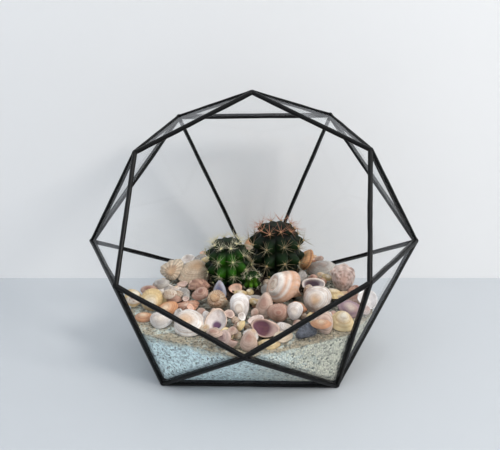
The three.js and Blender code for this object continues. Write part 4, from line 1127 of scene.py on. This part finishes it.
def putDown(number, at, *shell):
    # tries a few places near its own and takes the one where it lies lowest
    points, *rest = makeShell(300 + number, *shell)
    rng = np.random.default_rng(number)
    tries = np.concatenate([[[0, 0]], rng.uniform(-3, 3, (24, 2))]) + at
    lowest = points[:, 2].min()
    best = None
    for spot in tries:
        moved = points + [*spot, 0]
        level = (heights[cellsOf(moved)] - moved[:, 2]).max() + lowest
        if insideGlass(moved + [0, 0, level - lowest], 0.5).all() and (best is None or level < best[0]):
            best = (level, spot)
    placed = points + [*best[1], best[0] - lowest - 0.4]
    raiseBed(placed)
    return placed, *rest


looseShells = joinedParts([putDown(number, *filler) for number, filler in enumerate(fillers)])
makePiece("looseShells", looseShells, shellLook)

# the smallest shells, in what gaps are left
crowd = {"seed": 31, "pitch": 4.2, "jitter": 2, "reach": 98, "widths": (6.5, 13), "leans": (5, 55),
         "faces": (-60, 60), "length": 0.8, "height": 0.32, "turban": 0.7, "hollowUp": 0.3, "sink": 0.9,
         "highest": 51.5, "clear": 6, "level": 45.0, "front": 14, "frontEnd": -40,
         "kinds": ("clam", "clam", "clam", "cockle", "wedge", "cockle", "turban"),
         "looks": ("cream", "whiteTan", "pinkGrey", "mauve", "spotted", "coral", "greyWhite", "cream",
                   "orange", "whiteTan", "pinkGrey", "roughPink", "yellow", "white")}


def crowdSpots(rng):
    # a jittered grid in random order, clear of the front panes, the cacti and the open shells
    axis = np.arange(-crowd["reach"], crowd["reach"], crowd["pitch"])
    spots = np.stack(np.meshgrid(axis, axis), -1).reshape(-1, 2)
    spots = rng.permutation(spots + rng.uniform(-crowd["jitter"], crowd["jitter"], spots.shape))
    spots = spots[insideGlass(atLevel(spots, crowd["level"]), 3)]
    clearOfFront = insideGlass(atLevel(spots, crowd["level"]), crowd["front"])
    spots = spots[clearOfFront | (spots[:, 1] > crowd["frontEnd"])]
    for cactus in cacti.values():
        far = np.hypot(*(spots - cactus["place"]).T)
        spots = spots[far > 0.8 * cactus["radius"] + crowd["clear"]]
    for name in openShells:
        low, high = boxOf(name)
        spots = spots[~((spots > low[:2] + 1) & (spots < high[:2] - 1)).all(1)]
    return spots


def crowdShells():
    # a shell stays where it lies low and within the glass
    rng = np.random.default_rng(crowd["seed"])
    parts = []
    for number, spot in enumerate(crowdSpots(rng)):
        kind, look = (crowd[key][rng.integers(len(crowd[key]))] for key in ("kinds", "looks"))
        width = rng.uniform(*crowd["widths"])
        size = (width, width * crowd["length"], width * crowd["height"])
        if kind == "turban":
            look, size = "whiteWhelk", [width * crowd["turban"]] * 3
        turns = (rng.uniform(*crowd["faces"]), rng.uniform(*crowd["leans"]), rng.uniform(0, 360))
        isOpen = rng.uniform() < crowd["hollowUp"]
        points, *rest = makeShell(600 + number, kind, look, size, turns, isOpen, fine=False)
        points = points + (*spot, 0)
        points[:, 2] += (heights[cellsOf(points)] - points[:, 2]).max() - crowd["sink"]
        if points[:, 2].max() < crowd["highest"] and insideGlass(points, 0.3).all():
            raiseBed(points)
            parts.append((points, *rest))
    print("smallest shells", len(parts))
    return joinedParts(parts)


makePiece("smallestShells", crowdShells(), shellLook)
print("small shells made")


# Stage, camera and light: the wall in millimetres, the rest in metres and degrees

stage = {"wallLeft": (-252.3, 110.5), "wallRight": (225.4, 114.1), "reach": 2500, "foot": -0.5,
         "behind": 900, "front": 3000, "wall": {"colour": (236, 236, 236), "rough": 0.9, "clouds": 8},
         "table": {"colour": (186, 190, 194), "rough": 0.45, "clouds": 5}, "relief": 0.05}


def stageFinish(name, look, oneSided=False):
    # plain paint with faint clouds; a one-sided one is clear from its own back
    material, w = newFinish(name)
    place = w.place()
    darker = linear(*(c - 40 for c in look["colour"]))
    tint = w.mix(place.noise(look["clouds"]) * 0.08, linear(*look["colour"]), darker)
    grain = place.noise(look["clouds"] * 20).bump(stage["relief"], 0.001)
    shader = w.node("BsdfPrincipled", {"Base Color": tint, "Roughness": look["rough"], "Normal": grain})
    if oneSided:
        fromBehind = w.node("NewGeometry", output=6)
        shader = w.node("MixShader", {0: fromBehind, 1: shader, 2: w.node("BsdfTransparent")})
    w.node("OutputMaterial", {"Surface": shader})
    return material


def stagePlane(name, corner, sideA, sideB, material):
    # a flat sheet: point = corner + a sideA + b sideB, a and b from 0 to 1
    corner, sideA, sideB = (np.array(v, float) for v in (corner, sideA, sideB))
    points = np.stack([corner, corner + sideA, corner + sideA + sideB, corner + sideB])
    mesh = bpy.data.meshes.new(name)
    mesh.from_pydata((points * mm).tolist(), [], [(0, 1, 2, 3)])
    mesh.materials.append(material)
    plane = bpy.data.objects.new(name, mesh)
    bpy.context.scene.collection.objects.link(plane)


left, right = np.array(stage["wallLeft"]), np.array(stage["wallRight"])
along = (right - left) / np.linalg.norm(right - left)
start = left - along * stage["reach"]
span = along * 2 * stage["reach"]
deep = stage["behind"] + stage["front"]
stagePlane("wall", (*start, stage["foot"]), (*span, 0), (0, 0, stage["reach"]),
           stageFinish("wallPaint", stage["wall"], oneSided=True))
stagePlane("tableTop", (start[0], start[1] + stage["behind"], 0), (along[1] * deep, -deep, 0), (*span, 0),
           stageFinish("tableWhite", stage["table"]))

camera = {"place": (0.029, -0.47478, 0.28166), "yaw": 3.582, "pitch": 21.138, "roll": -1.367, "lens": 49.09,
          "sensor": 36, "nearest": 0.01}
yaw, pitch, roll = (math.radians(camera[key]) for key in ("yaw", "pitch", "roll"))
ahead = np.array([-math.sin(yaw) * math.cos(pitch), math.cos(yaw) * math.cos(pitch), -math.sin(pitch)])
level = np.array([math.cos(yaw), math.sin(yaw), 0])
upright = np.cross(level, ahead)
rightward = math.cos(roll) * level + math.sin(roll) * upright
upward = -math.sin(roll) * level + math.cos(roll) * upright


def placed(name, data, *axes):
    # an object whose x, y and z axes and place are the given ones
    made = bpy.data.objects.new(name, data)
    made.matrix_world = Matrix(np.column_stack(axes).tolist() + [[0, 0, 0, 1]])
    bpy.context.scene.collection.objects.link(made)
    return made


view = bpy.data.cameras.new("camera")
view.lens = camera["lens"]
view.sensor_width = camera["sensor"]
view.clip_start = camera["nearest"]
bpy.context.scene.camera = placed("camera", view, rightward, upward, -ahead, camera["place"])

lights = {
    "window": {"place": (1.3, -0.8, 1.15), "aim": (0, 0.05, 0.05), "size": 0.45, "power": 18,
               "colour": (1.0, 0.95, 0.89)},
    "sky": {"place": (-1.5, -0.9, 1.1), "aim": (0, 0, 0.05), "size": 1.6, "power": 4,
            "colour": (0.8, 0.9, 1.0)},
    "ceiling": {"place": (0.1, -0.3, 1.9), "aim": (0, 0.05, 0), "size": 2.0, "power": 19,
                "colour": (0.95, 0.98, 1.0)},
}
for name, light in lights.items():
    lamp = bpy.data.lights.new(name, "AREA")
    lamp.energy = light["power"]
    lamp.size = light["size"]
    lamp.color = light["colour"]
    back = unit(np.array(light["place"]) - np.array(light["aim"]))
    sideways = unit(np.cross([0, 0, 1.0], back))
    placed(name, lamp, sideways, np.cross(back, sideways), back, light["place"])
room = {"Color": (0.88, 0.93, 1.0, 1), "Strength": 0.62}
world = bpy.data.worlds.new("room")
world.use_nodes = True
for key, value in room.items():
    world.node_tree.nodes["Background"].inputs[key].default_value = value
bpy.context.scene.world = world
bpy.context.scene.view_settings.view_transform = "Standard"
